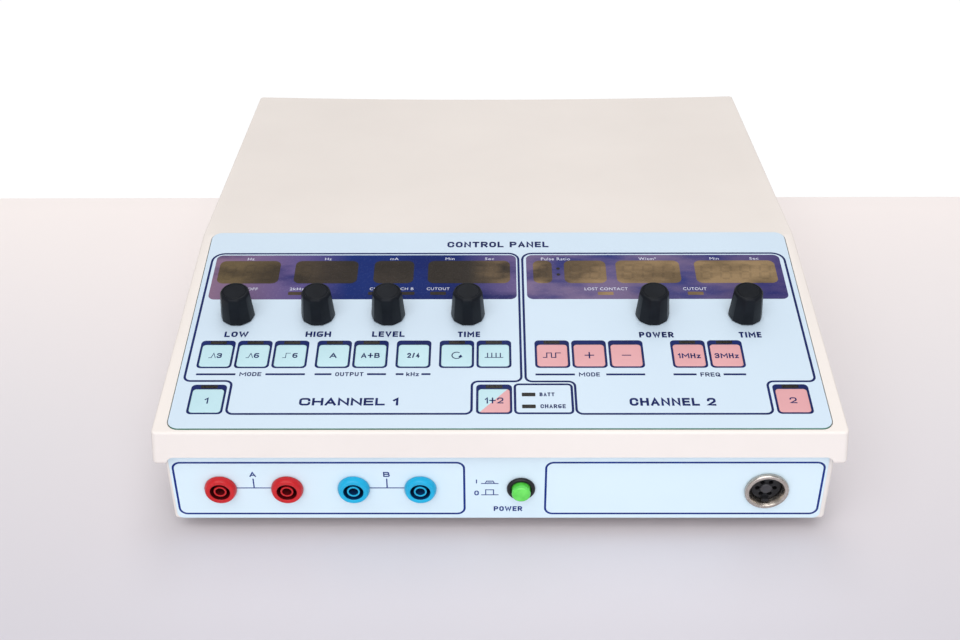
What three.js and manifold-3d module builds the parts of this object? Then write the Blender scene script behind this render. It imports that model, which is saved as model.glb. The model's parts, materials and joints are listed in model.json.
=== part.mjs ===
// Combined electrotherapy and ultrasound console: a sloping-deck bench unit with a membrane
// keypad, six rotary controls, four patient sockets and an applicator socket.
// Millimetres, +Z up, front facing -Y, origin at the centre of the footprint under the feet.

import * as THREE from 'three';
import { mergeVertices } from 'three/addons/utils/BufferGeometryUtils.js';
import Module from 'manifold-3d';

const wasm = await Module();
wasm.setup();

// ---------------------------------------------------------------- driving dimensions

const GAP = 0.3;                       // clearance kept between neighbouring pieces

// Case. The cover is a drafted lid whose skirt hangs outside the walls of the base tray.
const COVER_WIDTH = 311.7;             // at the lower edge of the skirt
const COVER_DEPTH = 353.8;
const COVER_CORNER = 2.5;
const CAVITY_CORNER = 1;
const COVER_WALL = 3;
const DECK_WALL = 3.6;
const DRAFT = Math.tan(THREE.MathUtils.degToRad(3));
const SKIRT_Z = 45.4;                  // lower edge of the side and rear skirt
const LIP_Z = 48.6;                    // lower edge of the front lip, between its two ends
const LIP_HALF = 149.4;
const DECK_EDGE_Z = 62;                // where the sloping deck meets the front face
const DECK_SLOPE = THREE.MathUtils.degToRad(12.2);
const DECK_LENGTH = 144;               // along the slope, up to the level rear top
const DECK_EDGE_Y = -COVER_DEPTH / 2 + (DECK_EDGE_Z - SKIRT_Z) * DRAFT;
const CREASE_Y = DECK_EDGE_Y + DECK_LENGTH * Math.cos(DECK_SLOPE);
const TOP_Z = DECK_EDGE_Z + DECK_LENGTH * Math.sin(DECK_SLOPE);

const BASE_HALF = 151.8;
const BASE_Z = 7.4;                    // underside of the tray
const BASE_RIM_Z = 55;
const BASE_WALL = 3;
const BASE_REAR_Y = 172.8;
const FLOOR_Z = BASE_Z + BASE_WALL;
const PANEL_UNDERCUT = THREE.MathUtils.degToRad(7);
const PANEL_Y = DECK_EDGE_Y + 7.25;    // front wall at the height of the socket row
const PANEL_Z = 27.6;

const FOOT = { x: 122, y: 142, radius: 9, height: 7.1 };
const PILLAR = { x: 143.5, y: 151, radius: 4.6, bottom: 20.6, pilot: 2.1, pilotTop: 38 };
const POST_TOP = PILLAR.bottom - GAP;
const POST_RADIUS = 5.2;
const SCREW = { head: 3.5, shank: 1.75, base: 9.2, seat: 11.7, tip: 36, clearance: 2.3, counterbore: 4 };
const STANDOFF = { xs: [-110, 40], ys: [-125, -35], radius: 3, top: 19.7 };

// Control deck, in deck coordinates: x across, y up the slope from the front edge, z outwards.
const OVERLAY = { half: 148.2, low: 2.4, high: 144.9, corner: 5, bottom: -0.7, top: 0.4 };
const RECESS = { margin: 0.5, depth: 1.6 };
const MEMBRANE = { bottom: -1.3, top: -1.0, domeTop: -0.75, domeRadius: 4, margin: 2 };
const KEY = { width: 14.3, height: 15, corner: 1.6, bottom: -0.25, top: 0.5 };
const KEY_ROW_Y = 50.2;                // middle of the upper row's key faces
const KEY_FOOT_Y = 19.9;               // middle of the lower row's key faces
const KNOB = { y: 79, base: 8.3, top: 7.0, skirt: 0.7, height: 15.8, bevel: 1.1, bore: 3.3 };
const SHAFT = { radius: 3, flat: 1.5, bottom: -13.5, top: 11 };
const ENCODER = { size: 12.4, height: 6.6, bushing: 4.3, bushingTop: -0.4, bore: 3.3 };
const BOARD = { half: 137, low: 12, high: 134, top: -9, thickness: 1.6 };
const DISPLAY = { low: 103.5, high: 121.8, top: -2.2 };

const KEYS = {
  key_wave_1: [-133, KEY_ROW_Y, 'aqua'],
  key_wave_2: [-115.5, KEY_ROW_Y, 'aqua'],
  key_wave_3: [-98, KEY_ROW_Y, 'aqua'],
  key_output_a: [-77.8, KEY_ROW_Y, 'aqua'],
  key_output_ab: [-60.3, KEY_ROW_Y, 'aqua'],
  key_carrier: [-40.1, KEY_ROW_Y, 'aqua'],
  key_vector: [-19.8, KEY_ROW_Y, 'aqua'],
  key_stimulate: [-2.3, KEY_ROW_Y, 'aqua'],
  key_pulse: [25.1, KEY_ROW_Y, 'pink'],
  key_plus: [42.5, KEY_ROW_Y, 'pink'],
  key_minus: [59.9, KEY_ROW_Y, 'pink'],
  key_frequency_1: [89.3, KEY_ROW_Y, 'pink'],
  key_frequency_3: [106.8, KEY_ROW_Y, 'pink'],
  key_left_mode: [-132.9, KEY_FOOT_Y, 'aqua'],
  key_combined_mode: [-2.3, KEY_FOOT_Y, 'aqua'],
  key_right_mode: [133.1, KEY_FOOT_Y, 'pink'],
};

const KNOBS = {
  lower: -126.4,
  upper: -87.4,
  current: -53.4,
  left_time: -14.8,
  power: 74.5,
  right_time: 119.4,
};

// Left and right limits of each digit window's display block.
const DISPLAYS = [
  [-140.5, -109.9], [-102.4, -70.6], [-62.5, -42.4], [-35.3, 6],
  [17.6, 27.1], [33.2, 54.3], [59.3, 91.5], [99, 139.7],
];

// Front panel, in panel coordinates: x across, y up the wall, z outwards from the wall.
const LABEL = { left: -149.9, right: 148.9, low: -18.8, high: 20.3, corner: 3, bottom: 0.3, top: 0.7 };
const FLANGE_Z = LABEL.top + GAP;
const SOCKETS = {
  socket_a_left: [-127.8, 'red'],
  socket_a_right: [-97.2, 'red'],
  socket_b_left: [-66.7, 'blue'],
  socket_b_right: [-36.1, 'blue'],
};
const SOCKET = {
  barrel: 6.1, flange: 7.4, rim: 6.4, shroud: 4.6, tube: 3.0, bore: 2.15, back: -18, front: 4.1,
};
const BUTTON = { x: 10, bezel: 6.5, barrel: 5.5, bore: 4.65, cap: 4.3, capBack: -9, capFront: 6 };
const DIN = { x: 122.5, y: -0.3, flange: 10.1, tube: 7.9, inner: 7.1, face: -2.2, back: -12 };

// Rear wall, in panel coordinates of its own: x towards the left of the case, z outwards.
const INLET = { x: 96, width: 50, height: 31, flange: 2.5, bodyWidth: 27.6, bodyHeight: 29.6 };
const INLET_MOUTH = { width: 24.4, height: 16.4, y: 4.6, depth: 16 };
const DRAWER = { width: 21.4, height: 6.8, y: -9.6, depth: 19 };
const REAR_Z = 26.2;
const VENTS = { count: 10, pitch: 6, width: 2.4, height: 18, x: -60 };
const BLADE = { width: 2, height: 4, back: 5.5, places: [[-7, -2], [0, 2], [7, -2]] };
const FLANGE_HOLE = { x: 20, radius: 1.7 };

// Inside the case, in case coordinates.
const TRANSFORMER = { x: 80, y: 95, hole: 14, radius: 40, height: 37.7, edge: 4 };
const BATTERY = { x: -55, y: 120, width: 178, depth: 35, height: 61, tab: 78 };
const STRAP = { sheet: 1.5, foot: 12, width: 30 };
const CARD = { bottom: 20, top: 21.6, sink: 0.5 };
const MAIN_BOARD = {
  xs: [-125, 55],
  ys: [-135, -25],
  outputTransformers: { xs: [-100, -60], y: -105, width: 30, depth: 25, height: 24 },
  relays: { xs: [-20, 2, 24], y: -112, width: 16, depth: 20, height: 16 },
  capacitors: { xs: [-105, -80, -55], y: -45, radius: 9, height: 25 },
  processor: { xs: [-30, 10], ys: [-75, -45], height: 4 },
  connector: { xs: [18, 48], ys: [-60, -52], height: 9 },
};
const ULTRASOUND_BOARD = {
  xs: [66, 138],
  ys: [-130, -30],
  coil: { x: 84, y: -108, radius: 10, height: 14 },
  relay: { xs: [110, 128], ys: [-118, -100], height: 12 },
  driver: { xs: [72, 96], ys: [-60, -40], height: 6 },
};
const HEAT_SINK = { x: 102, ys: [-92, -62], bottom: 22, root: 24.5, top: 42, fins: 6, pitch: 7, fin: 2 };
const RIBBON = { x: 33, y: -56, width: 20, thickness: 0.8, slack: 6, fold: 10, middle: 54 };

// ---------------------------------------------------------------- materials

function plastic(color, roughness) {
  return new THREE.MeshStandardMaterial({ color, roughness, metalness: 0 });
}

function metal(color, roughness) {
  return new THREE.MeshStandardMaterial({ color, roughness, metalness: 1 });
}

const MATERIALS = {
  casing: plastic(0xe9e1db, 0.55),
  film: plastic(0xd9ebfa, 0.3),
  membrane: plastic(0xc9cdd0, 0.5),
  aqua: plastic(0xc8eef0, 0.35),
  pink: plastic(0xeeaaaf, 0.35),
  knob: plastic(0x202327, 0.5),
  steel: metal(0xb8bcc0, 0.35),
  nickel: metal(0xd0c8c0, 0.25),
  red: plastic(0xd7232f, 0.3),
  blue: plastic(0x14aae6, 0.3),
  black: plastic(0x1b1c20, 0.5),
  green: plastic(0x6eeb64, 0.25),
  rubber: plastic(0x26272a, 0.85),
  board: plastic(0x1f6b45, 0.5),
  battery: plastic(0x3a3d42, 0.6),
  winding: plastic(0xb58a3c, 0.5),
  aluminium: metal(0xa9adb0, 0.4),
  ribbon: plastic(0x9a9ea3, 0.6),
};

// ---------------------------------------------------------------- geometry helpers

// A manifold solid from any closed three.js geometry.
function solid(geometry) {
  const bare = geometry.clone();
  bare.deleteAttribute('normal');
  bare.deleteAttribute('uv');
  const merged = mergeVertices(bare, 1e-4);
  const index = merged.index.array;
  const triangles = [];
  for (let i = 0; i < index.length; i += 3) {
    const [a, b, c] = [index[i], index[i + 1], index[i + 2]];
    if (a !== b && b !== c && c !== a) {
      triangles.push(a, b, c);
    }
  }
  const mesh = new wasm.Mesh({
    numProp: 3,
    vertProperties: new Float32Array(merged.attributes.position.array),
    triVerts: new Uint32Array(triangles),
  });
  return new wasm.Manifold(mesh);
}

function geometryOf(manifold) {
  const mesh = manifold.getMesh();
  const geometry = new THREE.BufferGeometry();
  geometry.setAttribute('position', new THREE.BufferAttribute(mesh.vertProperties, 3));
  geometry.setIndex(new THREE.BufferAttribute(mesh.triVerts, 1));
  geometry.computeVertexNormals();
  return geometry;
}

// The first solid with every solid of the second list joined on and every one of the third cut away.
function carve(start, joined, cut = []) {
  let result = start;
  for (const item of joined) {
    result = result.add(item);
  }
  for (const item of cut) {
    result = result.subtract(item);
  }
  return result;
}

function box([x0, x1], [y0, y1], [z0, z1]) {
  const geometry = new THREE.BoxGeometry(x1 - x0, y1 - y0, z1 - z0);
  return geometry.translate((x0 + x1) / 2, (y0 + y1) / 2, (z0 + z1) / 2);
}

// An upright round bar, or a cone when a second radius is given for its top.
function bar(radius, [z0, z1], x = 0, y = 0, topRadius = radius, segments = 16) {
  const geometry = new THREE.CylinderGeometry(topRadius, radius, z1 - z0, segments);
  return geometry.rotateX(Math.PI / 2).translate(x, y, (z0 + z1) / 2);
}

// A profile of [radius, height] points, turned about the Z axis.
function turned(points, segments = 20) {
  const profile = points.map(([radius, height]) => new THREE.Vector2(radius, height));
  return new THREE.LatheGeometry(profile, segments).rotateX(Math.PI / 2);
}

function roundedRect([x0, x1], [y0, y1], radius) {
  const shape = new THREE.Shape();
  shape.absarc(x1 - radius, y0 + radius, radius, -Math.PI / 2, 0, false);
  shape.absarc(x1 - radius, y1 - radius, radius, 0, Math.PI / 2, false);
  shape.absarc(x0 + radius, y1 - radius, radius, Math.PI / 2, Math.PI, false);
  shape.absarc(x0 + radius, y0 + radius, radius, Math.PI, Math.PI * 1.5, false);
  shape.closePath();
  return shape;
}

function plate(shape, [z0, z1], curveSegments = 2) {
  const settings = { depth: z1 - z0, bevelEnabled: false, curveSegments };
  return new THREE.ExtrudeGeometry(shape, settings).translate(0, 0, z0);
}

function roundedPlate(xs, ys, radius, zs, curveSegments = 2) {
  return plate(roundedRect(xs, ys, radius), zs, curveSegments);
}

// An outline of [y, z] points seen from the side, extruded across the case.
function sideExtrusion(points, [x0, x1]) {
  const shape = new THREE.Shape(points.map(([y, z]) => new THREE.Vector2(y, z)));
  const geometry = plate(shape, [x0, x1]);
  const turn = new THREE.Matrix4().makeBasis(
    new THREE.Vector3(0, 1, 0),
    new THREE.Vector3(0, 0, 1),
    new THREE.Vector3(1, 0, 0),
  );
  return geometry.applyMatrix4(turn);
}

function centred(middle, size) {
  return [middle - size / 2, middle + size / 2];
}

// ---------------------------------------------------------------- scene graph

const device = new THREE.Group();
const deck = new THREE.Group();
const panel = new THREE.Group();
const rear = new THREE.Group();

deck.position.set(0, DECK_EDGE_Y, DECK_EDGE_Z);
deck.rotation.x = DECK_SLOPE;
panel.position.set(0, PANEL_Y, PANEL_Z);
panel.rotation.x = Math.PI / 2 + PANEL_UNDERCUT;
rear.position.set(0, BASE_REAR_Y, REAR_Z);
rear.rotation.set(Math.PI / 2, Math.PI, 0);
device.add(deck, panel, rear);
device.updateMatrixWorld(true);

function addPiece(name, geometry, material, parent = device) {
  const mesh = new THREE.Mesh(geometry, MATERIALS[material]);
  mesh.name = name;
  parent.add(mesh);
}

// A solid drawn in a group's own coordinates, as it lies in the device.
function solidIn(group, geometry) {
  return solid(geometry.clone().applyMatrix4(group.matrixWorld));
}

// ---------------------------------------------------------------- case

function taperedBlock(width, depth, corner, [bottom, top]) {
  const geometry = roundedPlate(centred(0, width), centred(0, depth), corner, [bottom, top]);
  const position = geometry.attributes.position;
  for (let i = 0; i < position.count; i += 1) {
    const lean = (position.getZ(i) - SKIRT_Z) * DRAFT;
    position.setX(i, position.getX(i) * (1 - (2 * lean) / width));
    position.setY(i, position.getY(i) * (1 - (2 * lean) / depth));
  }
  return solid(geometry);
}

// Everything under the deck slope and the level rear top, lowered by a given amount.
function underTop(drop, bottom) {
  const reach = COVER_DEPTH;
  const frontZ = TOP_Z - (CREASE_Y + reach) * Math.tan(DECK_SLOPE);
  return solid(sideExtrusion([
    [-reach, Math.min(frontZ, bottom) - drop - 1],
    [reach, bottom],
    [reach, TOP_Z - drop],
    [CREASE_Y, TOP_Z - drop],
    [-reach, frontZ - drop],
  ], [-COVER_WIDTH, COVER_WIDTH]));
}

function topCover() {
  const reachZ = TOP_Z + 10;
  const outside = taperedBlock(COVER_WIDTH, COVER_DEPTH, COVER_CORNER, [SKIRT_Z, reachZ])
    .intersect(underTop(0, SKIRT_Z - 60));
  const inside = taperedBlock(
    COVER_WIDTH - 2 * COVER_WALL,
    COVER_DEPTH - 2 * COVER_WALL,
    CAVITY_CORNER,
    [SKIRT_Z - 1, reachZ],
  ).intersect(underTop(DECK_WALL, SKIRT_Z - 60));
  const pillars = [];
  const cuts = [];
  for (const x of [-PILLAR.x, PILLAR.x]) {
    for (const y of [-PILLAR.y, PILLAR.y]) {
      const deckZ = DECK_EDGE_Z + (y - DECK_EDGE_Y) * Math.tan(DECK_SLOPE);
      const reach = Math.min(deckZ, TOP_Z) - DECK_WALL / 2;
      pillars.push(solid(bar(PILLAR.radius, [PILLAR.bottom, reach], x, y)));
      cuts.push(solid(bar(PILLAR.pilot, [PILLAR.bottom - 1, PILLAR.pilotTop], x, y)));
    }
  }
  const lipNotch = [-COVER_DEPTH / 2 - 1, -COVER_DEPTH / 2 + COVER_WALL + 1];
  cuts.push(solid(box([-LIP_HALF, LIP_HALF], lipNotch, [SKIRT_Z - 1, LIP_Z])));
  const recess = roundedPlate(
    [-OVERLAY.half - RECESS.margin, OVERLAY.half + RECESS.margin],
    [OVERLAY.low - RECESS.margin, OVERLAY.high + RECESS.margin],
    OVERLAY.corner,
    [-RECESS.depth, 5],
  );
  cuts.push(solidIn(deck, recess));
  for (const x of Object.values(KNOBS)) {
    cuts.push(solidIn(deck, bar(ENCODER.bushing + GAP, [-8, 0], x, KNOB.y)));
  }
  for (const [x0, x1] of DISPLAYS) {
    const xs = [x0 - 0.5, x1 + 0.5];
    const ys = [DISPLAY.low - 0.5, DISPLAY.high + 0.5];
    cuts.push(solidIn(deck, box(xs, ys, [-8, 0])));
  }
  return geometryOf(carve(outside.subtract(inside), pillars, cuts));
}

// The tray seen from the side: undercut front wall, level floor and upright rear wall.
function traySide(wall, bottom, top) {
  const lean = Math.tan(PANEL_UNDERCUT);
  const skew = wall / Math.cos(PANEL_UNDERCUT);
  const frontAt = (z) => PANEL_Y + (PANEL_Z - z) * lean + skew;
  return [
    [frontAt(bottom), bottom],
    [BASE_REAR_Y - wall, bottom],
    [BASE_REAR_Y - wall, top],
    [frontAt(top), top],
  ];
}

function baseTray() {
  const outside = solid(sideExtrusion(traySide(0, BASE_Z, BASE_RIM_Z), [-BASE_HALF, BASE_HALF]));
  const innerHalf = BASE_HALF - BASE_WALL;
  const inside = solid(sideExtrusion(
    traySide(BASE_WALL, FLOOR_Z, BASE_RIM_Z + 1),
    [-innerHalf, innerHalf],
  ));
  const posts = [];
  const cuts = [];
  for (const x of [-PILLAR.x, PILLAR.x]) {
    for (const y of [-PILLAR.y, PILLAR.y]) {
      posts.push(solid(bar(POST_RADIUS, [FLOOR_Z - 1, POST_TOP], x, y)));
      cuts.push(solid(bar(SCREW.clearance, [BASE_Z - 1, POST_TOP + 1], x, y)));
      cuts.push(solid(bar(SCREW.counterbore, [BASE_Z - 1, SCREW.seat + GAP], x, y)));
    }
  }
  for (const x of STANDOFF.xs) {
    for (const y of STANDOFF.ys) {
      posts.push(solid(bar(STANDOFF.radius, [FLOOR_Z - 1, STANDOFF.top], x, y)));
    }
  }
  const through = [-BASE_WALL - 1, 1];
  for (const [x] of Object.values(SOCKETS)) {
    cuts.push(solidIn(panel, bar(SOCKET.barrel + GAP, through, x, 0)));
  }
  cuts.push(solidIn(panel, bar(BUTTON.barrel + GAP, through, BUTTON.x, 0)));
  cuts.push(solidIn(panel, bar(DIN.tube + GAP, through, DIN.x, DIN.y)));
  const inletHole = box(
    centred(INLET.x, INLET.bodyWidth + 2 * GAP),
    centred(0, INLET.bodyHeight + 2 * GAP),
    through,
  );
  cuts.push(solidIn(rear, inletHole));
  for (let i = 0; i < VENTS.count; i += 1) {
    const x = VENTS.x + (i - (VENTS.count - 1) / 2) * VENTS.pitch;
    cuts.push(solidIn(rear, box(centred(x, VENTS.width), centred(0, VENTS.height), through)));
  }
  return geometryOf(carve(outside.subtract(inside), posts, cuts));
}

function foot() {
  return turned([
    [0, 0],
    [FOOT.radius - 1.6, 0],
    [FOOT.radius - 0.8, 0.8],
    [FOOT.radius, FOOT.height],
    [0, FOOT.height],
  ], 16);
}

function caseScrew() {
  return turned([
    [0, SCREW.base],
    [SCREW.head, SCREW.base],
    [SCREW.head, SCREW.seat],
    [SCREW.shank, SCREW.seat],
    [SCREW.shank, SCREW.tip],
    [0, SCREW.tip],
  ], 12);
}

// ---------------------------------------------------------------- control deck

function controlOverlay() {
  const sheet = solid(roundedPlate(
    [-OVERLAY.half, OVERLAY.half],
    [OVERLAY.low, OVERLAY.high],
    OVERLAY.corner,
    [OVERLAY.bottom, OVERLAY.top],
  ));
  const cuts = [];
  for (const [x, y] of Object.values(KEYS)) {
    const xs = centred(x, KEY.width + 2 * GAP);
    const ys = centred(y, KEY.height + 2 * GAP);
    cuts.push(solid(roundedPlate(xs, ys, KEY.corner + GAP, [OVERLAY.bottom - 1, 1], 1)));
  }
  for (const x of Object.values(KNOBS)) {
    cuts.push(solid(bar(ENCODER.bushing + GAP, [OVERLAY.bottom - 1, 1], x, KNOB.y)));
  }
  return geometryOf(carve(sheet, [], cuts));
}

// The switch layer under the film, with one snap dome below each key.
function switchMembrane() {
  const sheet = solid(roundedPlate(
    [-OVERLAY.half + MEMBRANE.margin, OVERLAY.half - MEMBRANE.margin],
    [OVERLAY.low + MEMBRANE.margin, KNOB.y + 10],
    OVERLAY.corner,
    [MEMBRANE.bottom, MEMBRANE.top],
  ));
  const domes = [];
  for (const [x, y] of Object.values(KEYS)) {
    const rise = [MEMBRANE.bottom, MEMBRANE.domeTop];
    domes.push(solid(bar(MEMBRANE.domeRadius, rise, x, y, MEMBRANE.domeRadius / 2, 8)));
  }
  const cuts = [];
  for (const x of Object.values(KNOBS)) {
    cuts.push(solid(bar(ENCODER.bushing + GAP, [MEMBRANE.bottom - 1, 1], x, KNOB.y)));
  }
  return geometryOf(carve(sheet, domes, cuts));
}

function keyPad(x, y) {
  const xs = centred(x, KEY.width);
  const ys = centred(y, KEY.height);
  return roundedPlate(xs, ys, KEY.corner, [KEY.bottom, KEY.top], 1);
}

function knob(x) {
  const top = KNOB.skirt + KNOB.height;
  return turned([
    [KNOB.bore, KNOB.skirt],
    [KNOB.base, KNOB.skirt],
    [KNOB.base, KNOB.skirt + 1],
    [KNOB.top, top - KNOB.bevel],
    [KNOB.top - KNOB.bevel, top],
    [0, top],
    [0, SHAFT.top + GAP],
    [KNOB.bore, SHAFT.top + GAP],
    [KNOB.bore, KNOB.skirt],
  ]).translate(x, KNOB.y, 0);
}

// A round spindle with the flat that keys the knob.
function shaft(x) {
  const round = solid(bar(SHAFT.radius, [SHAFT.bottom, SHAFT.top]));
  const flat = solid(box([SHAFT.flat, 5], [-5, 5], [SHAFT.top - 8, SHAFT.top + 1]));
  return geometryOf(round.subtract(flat)).translate(x, KNOB.y, 0);
}

// The circuit board behind the deck, with the digit blocks and rotary encoders soldered to it.
function displayBoard() {
  const bottom = BOARD.top - BOARD.thickness;
  const sheet = solid(box([-BOARD.half, BOARD.half], [BOARD.low, BOARD.high], [bottom, BOARD.top]));
  const parts = [];
  for (const xs of DISPLAYS) {
    parts.push(solid(box(xs, [DISPLAY.low, DISPLAY.high], [BOARD.top - 1, DISPLAY.top])));
  }
  const cuts = [];
  for (const x of Object.values(KNOBS)) {
    const xs = centred(x, ENCODER.size);
    const ys = centred(KNOB.y, ENCODER.size);
    const bodyTop = BOARD.top + 3;
    parts.push(solid(box(xs, ys, [bodyTop - ENCODER.height, bodyTop])));
    parts.push(solid(bar(ENCODER.bushing, [BOARD.top, ENCODER.bushingTop], x, KNOB.y)));
    cuts.push(solid(bar(ENCODER.bore, [SHAFT.bottom - 1, 1], x, KNOB.y)));
  }
  return geometryOf(carve(sheet, parts, cuts));
}

// ---------------------------------------------------------------- front panel

function frontLabel() {
  const sheet = solid(roundedPlate(
    [LABEL.left, LABEL.right],
    [LABEL.low, LABEL.high],
    LABEL.corner,
    [LABEL.bottom, LABEL.top],
  ));
  const through = [LABEL.bottom - 1, LABEL.top + 1];
  const cuts = [];
  for (const [x] of Object.values(SOCKETS)) {
    cuts.push(solid(bar(SOCKET.barrel + GAP, through, x, 0)));
  }
  cuts.push(solid(bar(BUTTON.barrel + GAP, through, BUTTON.x, 0)));
  cuts.push(solid(bar(DIN.tube + GAP, through, DIN.x, DIN.y)));
  return geometryOf(carve(sheet, [], cuts));
}

// A shrouded 4 mm safety socket: a flanged barrel around a hollow inner tube.
function safetySocket(x) {
  const points = [
    [0, SOCKET.back],
    [SOCKET.barrel, SOCKET.back],
    [SOCKET.barrel, FLANGE_Z],
    [SOCKET.flange, FLANGE_Z],
    [SOCKET.flange, FLANGE_Z + 1],
    [SOCKET.rim, SOCKET.front],
    [SOCKET.shroud, SOCKET.front],
    [SOCKET.shroud, SOCKET.back + 4],
    [SOCKET.tube, SOCKET.back + 4],
    [SOCKET.tube, SOCKET.front - 0.6],
    [SOCKET.bore, SOCKET.front - 0.6],
    [SOCKET.bore, SOCKET.back + 3],
    [0, SOCKET.back + 3],
  ];
  return geometryOf(solid(turned(points))).translate(x, 0, 0);
}

function powerBezel() {
  return turned([
    [BUTTON.bore, -10],
    [BUTTON.barrel, -10],
    [BUTTON.barrel, FLANGE_Z],
    [BUTTON.bezel, FLANGE_Z],
    [BUTTON.bezel, FLANGE_Z + 0.7],
    [BUTTON.bezel - 0.8, FLANGE_Z + 1.4],
    [BUTTON.bore, FLANGE_Z + 1.4],
    [BUTTON.bore, -10],
  ]).translate(BUTTON.x, 0, 0);
}

function powerButton() {
  return geometryOf(solid(turned([
    [0, BUTTON.capBack],
    [BUTTON.cap, BUTTON.capBack],
    [BUTTON.cap, BUTTON.capFront - 0.9],
    [BUTTON.cap - 0.5, BUTTON.capFront - 0.2],
    [BUTTON.cap - 1.4, BUTTON.capFront],
    [0, BUTTON.capFront],
  ]))).translate(BUTTON.x, 0, 0);
}

// The latching switch behind the button, with its six solder tails.
function powerSwitch() {
  const front = BUTTON.capBack - 2.6;
  const body = solid(box(centred(BUTTON.x, 12), centred(0, 12), [front - 14, front]));
  const tails = [];
  for (const x of [-3.5, 0, 3.5]) {
    for (const y of [-3, 3]) {
      const tailX = centred(BUTTON.x + x, 1);
      tails.push(solid(box(tailX, centred(y, 0.6), [front - 18, front - 13])));
    }
  }
  return geometryOf(carve(body, tails));
}

function dinShell() {
  return turned([
    [DIN.inner, DIN.back],
    [DIN.tube, DIN.back],
    [DIN.tube, FLANGE_Z],
    [DIN.flange, FLANGE_Z],
    [DIN.flange, FLANGE_Z + 1.4],
    [DIN.flange - 0.6, FLANGE_Z + 2],
    [DIN.inner + 0.5, FLANGE_Z + 2],
    [DIN.inner, FLANGE_Z + 1.5],
    [DIN.inner, DIN.back],
  ], 24).translate(DIN.x, DIN.y, 0);
}

// The contact insert: six contact holes on a circle and a keyway at the bottom.
function dinInsert() {
  const radius = DIN.inner - GAP;
  const plug = solid(bar(radius, [DIN.back - 3, DIN.face], 0, 0, radius, 24));
  const cuts = [solid(box([-1.3, 1.3], [-radius - 1, -radius + 1.5], [DIN.face - 5, DIN.face + 1]))];
  const holes = 6;
  for (let i = 0; i < holes; i += 1) {
    const angle = ((i + 0.5) / holes) * Math.PI * 2 + Math.PI / 2;
    const x = 4 * Math.cos(angle);
    const y = 4 * Math.sin(angle);
    cuts.push(solid(bar(0.9, [DIN.face - 6, DIN.face + 1], x, y, 0.9, 8)));
  }
  return geometryOf(carve(plug, [], cuts)).translate(DIN.x, DIN.y, 0);
}

// ---------------------------------------------------------------- rear

function mainsInlet() {
  const flange = solid(roundedPlate(
    centred(INLET.x, INLET.width),
    centred(0, INLET.height),
    3,
    [GAP, GAP + INLET.flange],
  ));
  const face = GAP + INLET.flange;
  const body = solid(box(
    centred(INLET.x, INLET.bodyWidth),
    centred(0, INLET.bodyHeight),
    [-23, face - 1],
  ));
  const floor = face - INLET_MOUTH.depth;
  const mouth = solid(roundedPlate(
    centred(INLET.x, INLET_MOUTH.width),
    centred(INLET_MOUTH.y, INLET_MOUTH.height),
    2.5,
    [floor, face + 1],
    2,
  ));
  const drawerBay = solid(box(
    centred(INLET.x, DRAWER.width + 2 * GAP),
    centred(DRAWER.y, DRAWER.height + 2 * GAP),
    [face - DRAWER.depth - GAP, face + 1],
  ));
  const cuts = [mouth, drawerBay];
  for (const side of [-FLANGE_HOLE.x, FLANGE_HOLE.x]) {
    cuts.push(solid(bar(FLANGE_HOLE.radius, [-1, face + 1], INLET.x + side, 0)));
  }
  const blades = [];
  for (const [x, y] of BLADE.places) {
    const xs = centred(INLET.x + x, BLADE.width);
    const ys = centred(INLET_MOUTH.y + y, BLADE.height);
    blades.push(solid(box(xs, ys, [floor - 1, face - BLADE.back])));
  }
  return geometryOf(carve(carve(flange, [body], cuts), blades));
}

// The fuse carrier with the finger lip that pulls it out.
function fuseDrawer() {
  const face = GAP + INLET.flange;
  const carrier = solid(box(
    centred(INLET.x, DRAWER.width),
    centred(DRAWER.y, DRAWER.height),
    [face - DRAWER.depth, face + 0.4],
  ));
  const grip = solid(box(centred(INLET.x, 8), centred(DRAWER.y, 1.6), [face, face + 1.2]));
  return geometryOf(carrier.add(grip));
}

// ---------------------------------------------------------------- inside the case

// A ring-core transformer lying flat on the floor.
function mainsTransformer() {
  const { hole, radius, edge } = TRANSFORMER;
  const bottom = FLOOR_Z + GAP;
  const top = bottom + TRANSFORMER.height;
  return turned([
    [hole, bottom + edge],
    [hole + edge, bottom],
    [radius - edge, bottom],
    [radius, bottom + edge],
    [radius, top - edge],
    [radius - edge, top],
    [hole + edge, top],
    [hole, top - edge],
    [hole, bottom + edge],
  ], 24).translate(TRANSFORMER.x, TRANSFORMER.y, 0);
}

function battery() {
  const bottom = FLOOR_Z + GAP;
  const top = bottom + BATTERY.height;
  const block = solid(box(
    centred(BATTERY.x, BATTERY.width),
    centred(BATTERY.y, BATTERY.depth),
    [bottom, top],
  ));
  const tabs = [];
  for (const side of [-BATTERY.tab, BATTERY.tab]) {
    const tabX = centred(BATTERY.x + side, 0.8);
    tabs.push(solid(box(tabX, centred(BATTERY.y, 4.8), [top - 1, top + 6])));
  }
  return geometryOf(carve(block, tabs));
}

// A sheet-metal strap that bridges the battery and bolts to the floor at both sides.
function batteryBracket() {
  const { sheet, foot } = STRAP;
  const low = FLOOR_Z + GAP;
  const inner = low + BATTERY.height + 2 * GAP;
  const front = BATTERY.y - BATTERY.depth / 2 - GAP;
  const back = BATTERY.y + BATTERY.depth / 2 + GAP;
  return sideExtrusion([
    [front - sheet - foot, low],
    [front, low],
    [front, inner],
    [back, inner],
    [back, low],
    [back + sheet + foot, low],
    [back + sheet + foot, low + sheet],
    [back + sheet, low + sheet],
    [back + sheet, inner + sheet],
    [front - sheet, inner + sheet],
    [front - sheet, low + sheet],
    [front - sheet - foot, low + sheet],
  ], centred(BATTERY.x, STRAP.width));
}

// A component that stands on a circuit board, sunk a little into it so that the two join.
function onCard(xs, ys, height) {
  return solid(box(xs, ys, [CARD.top - CARD.sink, CARD.top + height]));
}

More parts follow.
